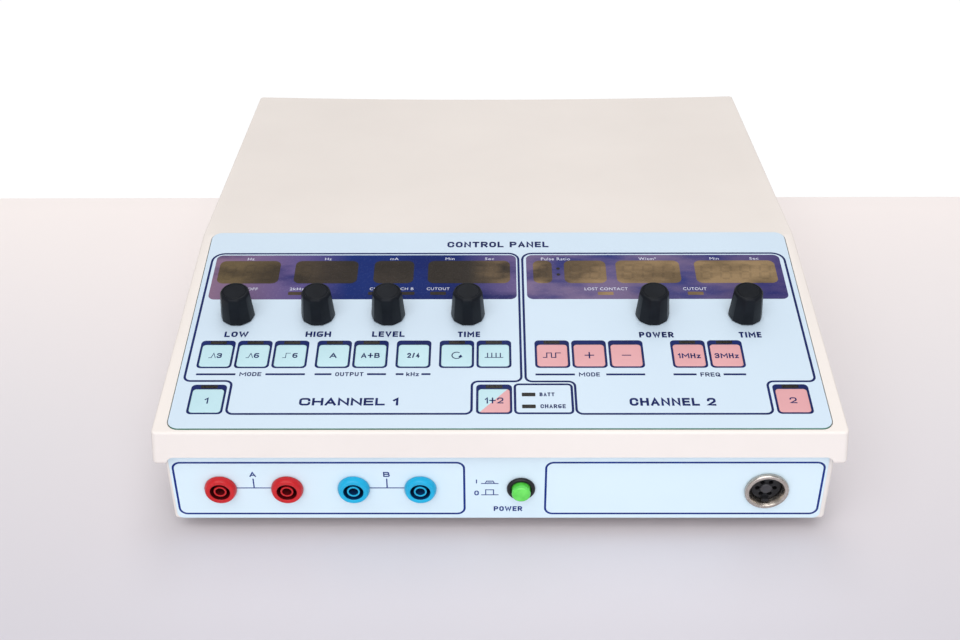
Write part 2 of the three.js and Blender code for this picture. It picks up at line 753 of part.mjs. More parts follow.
function roundOnCard(radius, height, x, y) {
  return solid(bar(radius, [CARD.top - CARD.sink, CARD.top + height], x, y));
}

// The supply and output board, with its two output transformers, relays and capacitors.
function mainBoard() {
  const { outputTransformers, relays, capacitors, processor, connector } = MAIN_BOARD;
  const sheet = solid(box(MAIN_BOARD.xs, MAIN_BOARD.ys, [CARD.bottom, CARD.top]));
  const parts = [
    onCard(processor.xs, processor.ys, processor.height),
    onCard(connector.xs, connector.ys, connector.height),
  ];
  for (const row of [outputTransformers, relays]) {
    for (const x of row.xs) {
      parts.push(onCard(centred(x, row.width), centred(row.y, row.depth), row.height));
    }
  }
  for (const x of capacitors.xs) {
    parts.push(roundOnCard(capacitors.radius, capacitors.height, x, capacitors.y));
  }
  return geometryOf(carve(sheet, parts));
}

// The high-frequency generator board that drives the ultrasound applicator.
function ultrasoundBoard() {
  const { coil, relay, driver } = ULTRASOUND_BOARD;
  const sheet = solid(box(ULTRASOUND_BOARD.xs, ULTRASOUND_BOARD.ys, [CARD.bottom, CARD.top]));
  return geometryOf(carve(sheet, [
    roundOnCard(coil.radius, coil.height, coil.x, coil.y),
    onCard(relay.xs, relay.ys, relay.height),
    onCard(driver.xs, driver.ys, driver.height),
  ]));
}

// A finned aluminium extrusion standing on the generator board.
function heatSink() {
  const { x: left, ys, root, fins, pitch, fin } = HEAT_SINK;
  const right = left + (fins - 1) * pitch + fin;
  const block = solid(box([left, right], ys, [HEAT_SINK.bottom, root]));
  const blades = [];
  for (let i = 0; i < fins; i += 1) {
    const x = left + i * pitch;
    blades.push(solid(box([x, x + fin], ys, [root - 1, HEAT_SINK.top])));
  }
  return geometryOf(carve(block, blades));
}

// Height of the display board's underside over a point of the case floor.
function boardUnder(y) {
  const drop = BOARD.top - BOARD.thickness;
  const along = (y - DECK_EDGE_Y + drop * Math.sin(DECK_SLOPE)) / Math.cos(DECK_SLOPE);
  return DECK_EDGE_Z + along * Math.sin(DECK_SLOPE) + drop * Math.cos(DECK_SLOPE);
}

// The flat cable from the main board's connector up to the display board, with a fold of slack.
function ribbonCable() {
  const { x, y, width, thickness, slack, fold, middle } = RIBBON;
  const low = CARD.top + MAIN_BOARD.connector.height + GAP;
  const high = boardUnder(y) - 2 * GAP;
  const back = y + thickness;
  return sideExtrusion([
    [y, low],
    [back, low],
    [back, middle - fold],
    [back + slack, middle],
    [back, middle + fold],
    [back, high],
    [y, high],
    [y, middle + fold],
    [y + slack - thickness / 2, middle],
    [y, middle - fold],
  ], centred(x, width));
}

// ---------------------------------------------------------------- assembly

addPiece('top_cover', topCover(), 'casing');
addPiece('base_tray', baseTray(), 'casing');

for (const [side, sx] of [['left', -1], ['right', 1]]) {
  for (const [end, sy] of [['front', -1], ['rear', 1]]) {
    const footPiece = foot().translate(sx * FOOT.x, sy * FOOT.y, 0);
    addPiece(`foot_${end}_${side}`, footPiece, 'rubber');
    const screwPiece = geometryOf(solid(caseScrew())).translate(sx * PILLAR.x, sy * PILLAR.y, 0);
    addPiece(`case_screw_${end}_${side}`, screwPiece, 'steel');
  }
}

addPiece('control_overlay', controlOverlay(), 'film', deck);
addPiece('switch_membrane', switchMembrane(), 'membrane', deck);
addPiece('display_board', displayBoard(), 'board', deck);
for (const [name, [x, y, colour]] of Object.entries(KEYS)) {
  addPiece(name, keyPad(x, y), colour, deck);
}
for (const [name, x] of Object.entries(KNOBS)) {
  addPiece(`${name}_knob`, knob(x), 'knob', deck);
  addPiece(`${name}_shaft`, shaft(x), 'steel', deck);
}

addPiece('front_label', frontLabel(), 'film', panel);
for (const [name, [x, colour]] of Object.entries(SOCKETS)) {
  addPiece(name, safetySocket(x), colour, panel);
}
addPiece('power_bezel', powerBezel(), 'black', panel);
addPiece('power_button', powerButton(), 'green', panel);
addPiece('power_switch', powerSwitch(), 'black', panel);
addPiece('din_shell', dinShell(), 'nickel', panel);
addPiece('din_insert', dinInsert(), 'black', panel);

addPiece('mains_inlet', mainsInlet(), 'black', rear);
addPiece('fuse_drawer', fuseDrawer(), 'black', rear);

addPiece('mains_transformer', mainsTransformer(), 'winding');
addPiece('battery', battery(), 'battery');
addPiece('battery_bracket', batteryBracket(), 'steel');
addPiece('main_board', mainBoard(), 'board');
addPiece('ultrasound_board', ultrasoundBoard(), 'board');
addPiece('heat_sink', heatSink(), 'aluminium');
addPiece('ribbon_cable', ribbonCable(), 'ribbon');

export default device;
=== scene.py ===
import json
import math
import bmesh
import bpy
from mathutils import Matrix, Vector

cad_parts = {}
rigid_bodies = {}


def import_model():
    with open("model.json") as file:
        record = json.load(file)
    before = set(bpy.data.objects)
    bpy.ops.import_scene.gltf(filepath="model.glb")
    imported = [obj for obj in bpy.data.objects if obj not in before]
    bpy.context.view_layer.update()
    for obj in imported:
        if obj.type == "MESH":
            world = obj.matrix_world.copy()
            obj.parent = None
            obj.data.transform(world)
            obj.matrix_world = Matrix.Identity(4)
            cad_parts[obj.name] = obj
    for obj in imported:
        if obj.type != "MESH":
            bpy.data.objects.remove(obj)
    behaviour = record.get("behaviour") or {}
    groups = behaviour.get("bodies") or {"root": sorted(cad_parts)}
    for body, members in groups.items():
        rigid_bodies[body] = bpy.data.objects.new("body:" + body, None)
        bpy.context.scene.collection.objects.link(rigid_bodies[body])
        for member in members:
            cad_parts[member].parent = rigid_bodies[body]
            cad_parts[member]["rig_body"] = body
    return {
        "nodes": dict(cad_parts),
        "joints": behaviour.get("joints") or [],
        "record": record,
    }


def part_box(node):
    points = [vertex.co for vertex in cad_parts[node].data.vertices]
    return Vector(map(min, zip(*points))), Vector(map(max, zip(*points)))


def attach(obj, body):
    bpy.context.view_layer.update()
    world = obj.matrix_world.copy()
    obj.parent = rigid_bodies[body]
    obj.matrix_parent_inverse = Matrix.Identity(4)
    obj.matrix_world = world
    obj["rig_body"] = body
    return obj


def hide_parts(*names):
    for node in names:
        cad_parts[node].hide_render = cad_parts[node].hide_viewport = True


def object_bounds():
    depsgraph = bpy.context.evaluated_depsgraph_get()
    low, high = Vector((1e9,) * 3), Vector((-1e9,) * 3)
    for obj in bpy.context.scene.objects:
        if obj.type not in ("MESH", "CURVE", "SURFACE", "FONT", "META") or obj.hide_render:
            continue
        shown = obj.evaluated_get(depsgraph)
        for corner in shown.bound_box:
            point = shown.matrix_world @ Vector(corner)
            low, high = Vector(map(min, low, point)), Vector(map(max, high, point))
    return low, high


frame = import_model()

CAD_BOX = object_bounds()
RECORD = frame["record"]
NODES = frame["nodes"]
MOUNTS = {mount["name"]: mount for mount in RECORD["mounts"]}
JOINTS = {joint["name"]: joint for joint in frame["joints"]}
SLOTS = {part["node"]: part["material_slot"] for part in RECORD["subparts"]}
MM = 0.001
CASE = "console"
SCENE = bpy.context.scene

# ---------------------------------------------------------------- working planes


def plane(origin, normal, across=(1, 0, 0)):
    """Local millimetres (x across, y up the surface, z outwards) to the row frame in metres."""
    outwards = Vector(normal).normalized()
    sideways = Vector(across)
    axes = Matrix((sideways, outwards.cross(sideways), outwards)).transposed().to_4x4()
    axes.translation = Vector(origin)
    return axes @ Matrix.Scale(MM, 4)


def off_axis(point, normal, height):
    """The point on the middle plane of the case, brought down to the surface it stands on."""
    lowered = Vector(point) - Vector(normal).normalized() * height * MM
    return Vector((0, lowered.y, lowered.z))


KNOB_ROW = 79.0          # height of the knob row up the deck
KNOB_FOOT = 0.7          # gap between the deck surface and the knobs
SOCKET_FACE = 4.1        # height of the socket faces over the front wall
INLET_FACE = 2.8         # height of the inlet flange over the rear wall

knob_joint = JOINTS["power_turn"]
deck_normal = Vector(knob_joint["axis"])
deck_up = deck_normal.cross(Vector((1, 0, 0)))
deck_origin = off_axis(knob_joint["pos_m"], deck_normal, KNOB_FOOT) - deck_up * KNOB_ROW * MM
DECK = plane(deck_origin, deck_normal)

socket_mount = MOUNTS["output_a_left_face"]
PANEL = plane(off_axis(socket_mount["pos_m"], socket_mount["axis"], SOCKET_FACE), socket_mount["axis"])

inlet_mount = MOUNTS["mains_inlet_face"]
REAR = plane(off_axis(inlet_mount["pos_m"], inlet_mount["axis"], INLET_FACE), inlet_mount["axis"], (-1, 0, 0))
WORLD = Matrix.Scale(MM, 4)


def middle(node, matrix):
    """Centre of a CAD node in the local millimetres of a plane."""
    low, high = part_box(node)
    return matrix.inverted() @ ((low + high) / 2)


# ---------------------------------------------------------------- materials


def linear(rgb):
    """An sRGB colour of 0 to 255 as linear light."""
    values = []
    for channel in rgb:
        part = channel / 255
        values.append(part / 12.92 if part <= 0.04045 else ((part + 0.055) / 1.055) ** 2.4)
    return (*values, 1)


def set_inputs(node, **values):
    """Values of a node's inputs, where an underscore stands for a space in the name."""
    for key, value in values.items():
        node.inputs[key.replace("_", " ")].default_value = value


class Shader:
    """A node material around one Principled shader."""

    def __init__(self, name):
        self.material = bpy.data.materials.new(name)
        self.material.use_nodes = True
        self.tree = self.material.node_tree
        self.main = self.tree.nodes["Principled BSDF"]
        self.place = self.node("ShaderNodeTexCoord").outputs["Object"]

    def node(self, kind, **values):
        made = self.tree.nodes.new(kind)
        for key, value in values.items():
            setattr(made, key, value)
        return made

    def link(self, source, target):
        self.tree.links.new(source, target)

    def noise(self, scale, detail=3.0, stretch=(1, 1, 1)):
        mapping = self.node("ShaderNodeMapping")
        set_inputs(mapping, Scale=stretch)
        self.link(self.place, mapping.inputs["Vector"])
        noise = self.node("ShaderNodeTexNoise")
        set_inputs(noise, Scale=scale, Detail=detail, Roughness=0.55)
        self.link(mapping.outputs["Vector"], noise.inputs["Vector"])
        return noise.outputs["Fac"]

    def along(self, axis):
        """The position along one axis of the row frame."""
        split = self.node("ShaderNodeSeparateXYZ")
        self.link(self.place, split.inputs["Vector"])
        return split.outputs[axis]

    def spread(self, fac, low, high, start=0.3, end=0.7):
        span = self.node("ShaderNodeMapRange")
        set_inputs(span, From_Min=start, From_Max=end, To_Min=low, To_Max=high)
        self.link(fac, span.inputs["Value"])
        return span.outputs["Result"]

    def ramp(self, fac, stops):
        ramp = self.node("ShaderNodeValToRGB")
        elements = ramp.color_ramp.elements
        while len(elements) < len(stops):
            elements.new(0.5)
        for element, (position, rgb) in zip(elements, stops):
            element.position = position
            element.color = linear(rgb)
        self.link(fac, ramp.inputs["Fac"])
        return ramp.outputs["Color"]

    def mix(self, fac, first, second):
        mix = self.node("ShaderNodeMix", data_type="RGBA")
        self.link(fac, mix.inputs["Factor"])
        self.link(first, mix.inputs["A"])
        self.link(second, mix.inputs["B"])
        return mix.outputs["Result"]

    def bump(self, height, strength, distance):
        bump = self.node("ShaderNodeBump")
        set_inputs(bump, Strength=strength, Distance=distance)
        self.link(height, bump.inputs["Height"])
        self.link(bump.outputs["Normal"], self.main.inputs["Normal"])

    def surface(self, colour, grain, rough):
        """The base colour, and a roughness that follows a grain."""
        self.link(colour, self.main.inputs["Base Color"])
        self.link(self.spread(grain, *rough), self.main.inputs["Roughness"])


def moulded(name, dark, light, rough, grain=900, patch=18, bump=0.25, depth=3e-5, specular=0.5):
    """Moulded plastic or rubber: soft patches of colour over a fine grain."""
    shader = Shader(name)
    patches = shader.noise(patch, 4.0)
    fine = shader.noise(grain, 2.0)
    shader.surface(shader.ramp(patches, [(0.3, dark), (0.7, light)]), fine, rough)
    shader.bump(fine, bump, depth)
    set_inputs(shader.main, Specular_IOR_Level=specular)
    return shader.material


def plated(name, dark, light, rough, stretch=(1, 1, 1)):
    """Bare or plated metal with fine drawn or turned marks."""
    shader = Shader(name)
    marks = shader.noise(500.0, 3.0, stretch)
    shader.surface(shader.ramp(marks, [(0.25, dark), (0.75, light)]), marks, rough)
    shader.bump(marks, 0.15, 2e-5)
    set_inputs(shader.main, Metallic=1.0)
    return shader.material


def display_glass(name, low_stops, reflection_stops, low, high, rough, cloud=(0.42, 0.62)):
    """Dark display film with painted reflections: its base tint drifts along the band, and a painted
    reflection tint lies over it in cloudy patches.
    """
    shader = Shader(name)
    along = shader.spread(shader.along("X"), 0.0, 1.0, low * MM, high * MM)
    reflection_patches = shader.noise(26.0, 3.0, (1, 2.4, 1))
    base = shader.ramp(along, low_stops)
    painted_reflection = shader.ramp(along, reflection_stops)
    amount = shader.spread(reflection_patches, 0.0, 1.0, *cloud)
    shader.surface(shader.mix(amount, base, painted_reflection), shader.noise(700.0, 2.0), rough)
    shader.bump(shader.noise(90.0, 2.0), 0.05, 2e-5)
    set_inputs(shader.main, Specular_IOR_Level=0.12)
    return shader.material


def circuit_board(name):
    """Green solder resist with a lattice of copper tracks showing through."""
    shader = Shader(name)
    tracks = shader.node("ShaderNodeTexBrick")
    set_inputs(
        tracks, Scale=130.0, Mortar_Size=0.025, Color1=linear((28, 96, 62)),
        Color2=linear((34, 110, 70)), Mortar=linear((60, 140, 88)),
    )
    shader.link(shader.place, tracks.inputs["Vector"])
    shader.surface(tracks.outputs["Color"], shader.noise(400.0), (0.28, 0.42))
    shader.bump(tracks.outputs["Fac"], 0.3, 3e-5)
    return shader.material


def striped(name, first, second, pitch, axis, rough):
    """Parallel strands, as on a ribbon cable or a tape-wound coil."""
    shader = Shader(name)
    wave = shader.node("ShaderNodeTexWave", wave_type="BANDS", bands_direction=axis)
    set_inputs(wave, Scale=1 / (pitch * MM) / 6.28, Distortion=0.4)
    shader.link(shader.place, wave.inputs["Vector"])
    stripes = shader.ramp(wave.outputs["Fac"], [(0.1, first), (0.6, second)])
    shader.surface(stripes, shader.noise(300.0), rough)
    shader.bump(wave.outputs["Fac"], 0.5, 2e-4)
    return shader.material


def button_plastic(name):
    """Translucent green plastic, brightened by a faint painted glow."""
    shader = Shader(name)
    patches = shader.noise(160.0, 2.0)
    tint = shader.ramp(patches, [(0.3, (70, 188, 56)), (0.7, (104, 214, 88))])
    shader.surface(tint, shader.noise(900.0), (0.14, 0.26))
    shader.bump(patches, 0.1, 4e-5)
    # Painted glow: a faint emission that brightens the cap.
    painted_glow = linear((60, 220, 50))
    set_inputs(shader.main, Coat_Weight=0.4, Emission_Color=painted_glow, Emission_Strength=0.08)
    return shader.material


# Name, dark and light tint, range of roughness, then the scale of the grain and of the patches, the
# strength and depth of the bumps, and the specular level, where these differ from the usual.
PLASTICS = {
    "casing": ("casing_plastic", (222, 214, 208), (229, 221, 215), (0.58, 0.7), 1500, 7, 0.2, 3e-5, 0.35),
    "tray": ("tray_plastic", (226, 219, 213), (233, 226, 220), (0.58, 0.7), 1500, 9, 0.2, 3e-5, 0.35),
    "film": ("deck_film", (192, 208, 222), (197, 213, 226), (0.34, 0.44), 1800, 8, 0.12, 2e-5),
    "front_film": ("front_film", (209, 228, 237), (214, 232, 240), (0.34, 0.44), 1800, 8, 0.12, 2e-5),
    "film_edge": ("film_edge", (74, 128, 112), (98, 152, 136), (0.3, 0.5), 900, 60),
    "navy": ("navy_ink", (4, 20, 76), (10, 30, 94), (0.42, 0.55), 1800, 60, 0.1, 1e-5, 0.2),
    "front_navy": ("front_ink", (2, 36, 112), (8, 48, 132), (0.42, 0.55), 1800, 60, 0.1, 1e-5, 0.2),
    "white_ink": ("white_ink", (200, 203, 219), (214, 217, 230), (0.4, 0.5), 1500, 60),
    "lamp": ("lamp_window", (24, 22, 20), (40, 34, 28), (0.25, 0.36), 700, 160, 0.25, 3e-5, 0.2),
    "aqua": ("aqua_film", (174, 206, 214), (182, 213, 220), (0.34, 0.44), 1800, 40, 0.12, 2e-5),
    "pink": ("pink_film", (206, 149, 152), (213, 157, 160), (0.34, 0.44), 1800, 40, 0.12, 2e-5),
    "knob": ("knob_plastic", (16, 19, 24), (22, 25, 31), (0.32, 0.42), 1400, 120, 0.3, 3e-5, 0.12),
    "red": ("red_plastic", (184, 20, 26), (198, 30, 36), (0.28, 0.38), 1200, 120, 0.15, 3e-5, 0.35),
    "blue": ("blue_plastic", (14, 160, 203), (22, 172, 215), (0.28, 0.38), 1200, 120, 0.15, 3e-5, 0.35),
    # The darker red and blue below are painted shade for the inside of the deep socket bores.
    "deep_red": ("deep_red_plastic", (70, 4, 10), (96, 10, 18), (0.4, 0.5), 1200, 120, 0.25, 3e-5, 0.2),
    "deep_blue": ("deep_blue_plastic", (4, 38, 78), (8, 56, 104), (0.4, 0.5), 1200, 120, 0.25, 3e-5, 0.2),
    "black": ("black_plastic", (16, 16, 18), (28, 28, 31), (0.36, 0.5), 1300, 120, 0.25, 3e-5, 0.35),
    "grey": ("grey_plastic", (42, 41, 44), (58, 57, 60), (0.36, 0.5), 1300, 120),
    "rubber": ("rubber_foot", (28, 28, 30), (44, 44, 46), (0.72, 0.88), 900, 200, 0.5),
    "battery": ("battery_case", (48, 51, 56), (62, 66, 72), (0.5, 0.64), 700, 40),
    "membrane": ("membrane_film", (176, 182, 188), (200, 205, 210), (0.35, 0.5), 900, 60),
}
# Base tints of the display films, each paired with the tints of the painted reflections laid over it in
# patches (mauve, violet, gold).
NAVY_TINTS = [(0.0, (26, 30, 82)), (0.4, (11, 31, 94)), (0.8, (10, 27, 88)), (1.0, (24, 28, 84))]
MAUVE_REFLECTION_TINTS = [
    (0.0, (124, 98, 122)), (0.3, (84, 74, 124)), (0.45, (16, 40, 104)), (0.8, (13, 33, 97)),
    (1.0, (96, 82, 124)),
]
INDIGO_TINTS = [(0.0, (50, 50, 104)), (0.5, (46, 54, 112)), (1.0, (24, 31, 94))]
VIOLET_REFLECTION_TINTS = [(0.0, (112, 96, 128)), (0.5, (108, 94, 126)), (1.0, (72, 63, 108))]
SMOKE_TINTS = [
    (0.0, (74, 62, 46)), (0.2, (42, 37, 33)), (0.5, (46, 40, 35)), (0.7, (104, 86, 64)), (1.0, (96, 80, 58)),
]
GOLD_REFLECTION_TINTS = [
    (0.0, (104, 88, 62)), (0.2, (56, 48, 42)), (0.45, (47, 42, 38)), (0.55, (144, 119, 88)),
    (1.0, (142, 119, 88)),
]
UNLIT = 0.92             # how much darker an unlit digit is than its window
LEFT_BAND_X = (-143, 9)
RIGHT_BAND_X = (14, 142)
WINDOW_X = (-143, 142)


def dimmed(tints):
    return [(place, tuple(UNLIT * part for part in tint)) for place, tint in tints]


M = {key: moulded(*row) for key, row in PLASTICS.items()}
M.update({
    "nickel": plated("satin_nickel", (176, 168, 159), (202, 194, 185), (0.2, 0.32)),
    "steel": plated("zinc_steel", (150, 154, 160), (196, 199, 203), (0.28, 0.44), (1, 1, 6)),
    "aluminium": plated("extruded_aluminium", (160, 164, 168), (204, 206, 208), (0.32, 0.46), (8, 1, 1)),
    "board": circuit_board("circuit_board"),
    "ribbon": striped("ribbon_cable", (120, 124, 130), (172, 176, 180), 1.27, "X", (0.45, 0.6)),
    "winding": striped("tape_winding", (150, 104, 34), (196, 146, 64), 3.2, "Z", (0.3, 0.5)),
    "green": button_plastic("green_button"),
    "band_left": display_glass(
        "display_band_left", NAVY_TINTS, MAUVE_REFLECTION_TINTS, *LEFT_BAND_X, (0.2, 0.3), (0.3, 0.52)
    ),
    "band_right": display_glass(
        "display_band_right", INDIGO_TINTS, VIOLET_REFLECTION_TINTS, *RIGHT_BAND_X, (0.2, 0.3), (0.36, 0.58)
    ),
    "window": display_glass("display_window", SMOKE_TINTS, GOLD_REFLECTION_TINTS, *WINDOW_X, (0.2, 0.3)),
    "digit": display_glass("unlit_digit", dimmed(SMOKE_TINTS), dimmed(GOLD_REFLECTION_TINTS), *WINDOW_X, (0.3, 0.4)),
})

# ---------------------------------------------------------------- mesh helpers


def piece(name, mesh, matrix, materials, body, smooth=None, replaces=()):
    """A named piece: the mesh in local millimetres, placed on its plane and riding on a body."""
    mesh.transform(matrix)
    if matrix.determinant() < 0:
        mesh.flip_normals()
    mesh.name = name
    made = bpy.data.objects.new(name, mesh)
    SCENE.collection.objects.link(made)
    for key in materials if isinstance(materials, (list, tuple)) else [materials]:
        mesh.materials.append(M[key])
    if smooth is not None:
        mesh.shade_smooth()
        mesh.set_sharp_from_angle(angle=math.radians(smooth))
    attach(made, body)
    if replaces:
        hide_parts(*replaces)
    return made


def mesh_from(bm):
    bmesh.ops.recalc_face_normals(bm, faces=bm.faces)
    mesh = bpy.data.meshes.new("mesh")
    bm.to_mesh(mesh)
    bm.free()
    return mesh


def evaluated(made):
    """The finished mesh of a temporary object, which is then removed."""
    bpy.context.view_layer.update()
    graph = bpy.context.evaluated_depsgraph_get()
    mesh = bpy.data.meshes.new_from_object(made.evaluated_get(graph), depsgraph=graph)
    bpy.data.objects.remove(made)
    return mesh


def temporary(data):
    made = bpy.data.objects.new("temporary", data)
    SCENE.collection.objects.link(made)
    return made


def boolean(mesh, operation, other):
    """The mesh with another one joined on or cut away."""
    target, tool = temporary(mesh), temporary(other)
    change = target.modifiers.new("boolean", "BOOLEAN")
    change.operation = operation
    change.solver = "EXACT"
    change.object = tool
    result = evaluated(target)
    bpy.data.objects.remove(tool)
    return result


def merged(meshes):
    """Several meshes as one, keeping their material indices."""
    bm = bmesh.new()
    for mesh in meshes:
        bm.from_mesh(mesh)
    mesh = bpy.data.meshes.new("mesh")
    bm.to_mesh(mesh)
    bm.free()
    return mesh


def moved(mesh, x=0.0, y=0.0, z=0.0):
    mesh.transform(Matrix.Translation((x, y, z)))
    return mesh


def arc(cx, cy, radius, start, end, steps):
    points = []
    for i in range(steps + 1):
        angle = math.radians(start + (end - start) * i / steps)
        points.append((cx + radius * math.cos(angle), cy + radius * math.sin(angle)))
    return points


def round_rect(x0, x1, y0, y1, radius, steps=8):
    points = arc(x1 - radius, y0 + radius, radius, -90, 0, steps)
    points += arc(x1 - radius, y1 - radius, radius, 0, 90, steps)
    points += arc(x0 + radius, y1 - radius, radius, 90, 180, steps)
    points += arc(x0 + radius, y0 + radius, radius, 180, 270, steps)
    return points


def circle(cx, cy, radius, steps=48):
    return arc(cx, cy, radius, 0, 360, steps)[:-1]


TINY = 1e-6


def bevel_edges(bm, edges, radius, segments):
    bmesh.ops.bevel(
        bm, geom=edges, offset=radius, segments=segments, profile=0.5, affect="EDGES", clamp_overlap=True
    )


def lift_faces(bm, height):
    """Draws every face of a flat mesh up into a solid."""
    lifted = bmesh.ops.extrude_face_region(bm, geom=list(bm.faces))
    top = [item for item in lifted["geom"] if isinstance(item, bmesh.types.BMVert)]
    bmesh.ops.translate(bm, verts=top, vec=(0, 0, height))


def prism(outline, z0, z1, steps=0, bevel=0.0):
    """A closed solid over an outline, with its outward rim rounded when a bevel is given."""
    bm = bmesh.new()
    bm.faces.new([bm.verts.new((x, y, z0)) for x, y in outline])
    lift_faces(bm, z1 - z0)
    if bevel:
        rim = [edge for edge in bm.edges if all(abs(v.co.z - z1) < TINY for v in edge.verts)]
        bevel_edges(bm, rim, bevel, steps)
    return mesh_from(bm)


def sheet(outlines, z0, z1):
    """Flat material between z0 and z1 inside the outlines, where an outline within another is a hole."""
    curve = bpy.data.curves.new("outlines", "CURVE")
    curve.dimensions = "2D"
    curve.fill_mode = "BOTH"
    curve.extrude = (z1 - z0) / 2
    for outline in outlines:
        spline = curve.splines.new("POLY")
        spline.points.add(len(outline) - 1)
        spline.use_cyclic_u = True
        for point, (x, y) in zip(spline.points, outline):
            point.co = (x, y, 0, 1)
    return moved(evaluated(temporary(curve)), z=(z0 + z1) / 2)


def bridge(bm, rings):
    """Faces between successive rings of vertices, where a single vertex is a pole."""
    for lower, upper in zip(rings, rings[1:]):
        count = max(len(lower), len(upper))
        for i in range(count):
            j = (i + 1) % count
            if len(lower) == 1 and len(upper) > 1:
                bm.faces.new((lower[0], upper[j], upper[i]))
            elif len(upper) == 1 and len(lower) > 1:
                bm.faces.new((lower[i], lower[j], upper[0]))
            elif len(lower) > 1:
                bm.faces.new((lower[i], lower[j], upper[j], upper[i]))


FACET_FADE = 1.5         # height below the crest over which the flats of a faceted shape fade away


def turned(profile, steps, facets=0, flatten=0.0):
    """A profile of (radius, height) points turned about Z, with flats pressed in that fade at the top."""
    bm = bmesh.new()
    rings = []
    crest = max(height for _, height in profile)
    for radius, height in profile:
        if radius < TINY:
            rings.append([bm.verts.new((0, 0, height))])
            continue
        ring = []
        for i in range(steps):
            angle = math.tau * i / steps
            reach = radius
            if facets:
                sector = math.tau / facets
                inside = (angle % sector) - sector / 2
                polygon = math.cos(sector / 2) / math.cos(inside)
                press = flatten * min(1, (crest - height) / FACET_FADE)
                reach = radius * (1 - press + press * polygon)
            ring.append(bm.verts.new((reach * math.cos(angle), reach * math.sin(angle), height)))
        rings.append(ring)
    bridge(bm, rings)
    return mesh_from(bm)


def filleted(corners, steps=6, closed=True):
    """A path through (x, y, radius) corners, with each corner rounded."""
    points = []
    count = len(corners)
    for i, (x, y, radius) in enumerate(corners):
        here = Vector((x, y))
        if not radius or (not closed and i in (0, count - 1)):
            points.append((x, y))
            continue
        before = (Vector(corners[i - 1][:2]) - here).normalized()
        after = (Vector(corners[(i + 1) % count][:2]) - here).normalized()
        half = before.angle(after) / 2
        start = here + before * radius / math.tan(half)
        end = here + after * radius / math.tan(half)
        centre = here + (before + after).normalized() * radius / math.sin(half)
        first, last = start - centre, end - centre
        sweep = math.atan2(first.x * last.y - first.y * last.x, first.dot(last))
        for k in range(steps + 1):
            turn = sweep * k / steps
            spoke = Matrix.Rotation(turn, 2) @ first
            points.append(tuple(centre + spoke))
    return points


def offset_path(points, distance):
    """A closed path moved sideways, to its left."""
    result = []
    count = len(points)
    for i in range(count):
        here = Vector(points[i])
        before = (here - Vector(points[i - 1])).normalized()
        after = (Vector(points[(i + 1) % count]) - here).normalized()
        side = Vector((-before.y - after.y, before.x + after.x)).normalized()
        normal = Vector((-before.y, before.x))
        result.append(tuple(here + side * distance / max(side.dot(normal), 0.3)))
    return result


def loop_line(points, width):
    """The two outlines of a printed line that runs round a closed path."""
    return [offset_path(points, -width / 2), offset_path(points, width / 2)]


def bar_line(x0, y0, x1, y1, width):
    """The outline of a straight printed stroke."""
    along = Vector((x1 - x0, y1 - y0)).normalized() * width / 2
    side = Vector((-along.y, along.x))
    a, b = Vector((x0, y0)), Vector((x1, y1))
    return [tuple(a - side), tuple(b - side), tuple(b + side), tuple(a + side)]


def polyline(points, width):
    """Outlines of an open printed stroke through several points, with its corners filled."""
    outlines = []
    for (x0, y0), (x1, y1) in zip(points, points[1:]):
        along = Vector((x1 - x0, y1 - y0)).normalized() * width / 2
        outlines.append(bar_line(x0 - along.x, y0 - along.y, x1 + along.x, y1 + along.y, width))
    return outlines


def pen_stroke(points, width):
    """The outline of one printed stroke through the points, with square ends."""
    path = [Vector(point) for point in points]
    path[0] -= (path[1] - path[0]).normalized() * width / 2
    path[-1] += (path[-1] - path[-2]).normalized() * width / 2
    left, right = [], []
    for i, here in enumerate(path):
        before = (here - path[max(i - 1, 0)]).normalized()
        after = (path[min(i + 1, len(path) - 1)] - here).normalized()
        across = Vector((-before.y - after.y, before.x + after.x)).normalized()
        edge = Vector((-after.y, after.x)) if i == 0 else Vector((-before.y, before.x))
        reach = across * width / 2 / max(across.dot(edge), 0.5)
        left.append(tuple(here + reach))
        right.append(tuple(here - reach))
    return right + left[::-1]


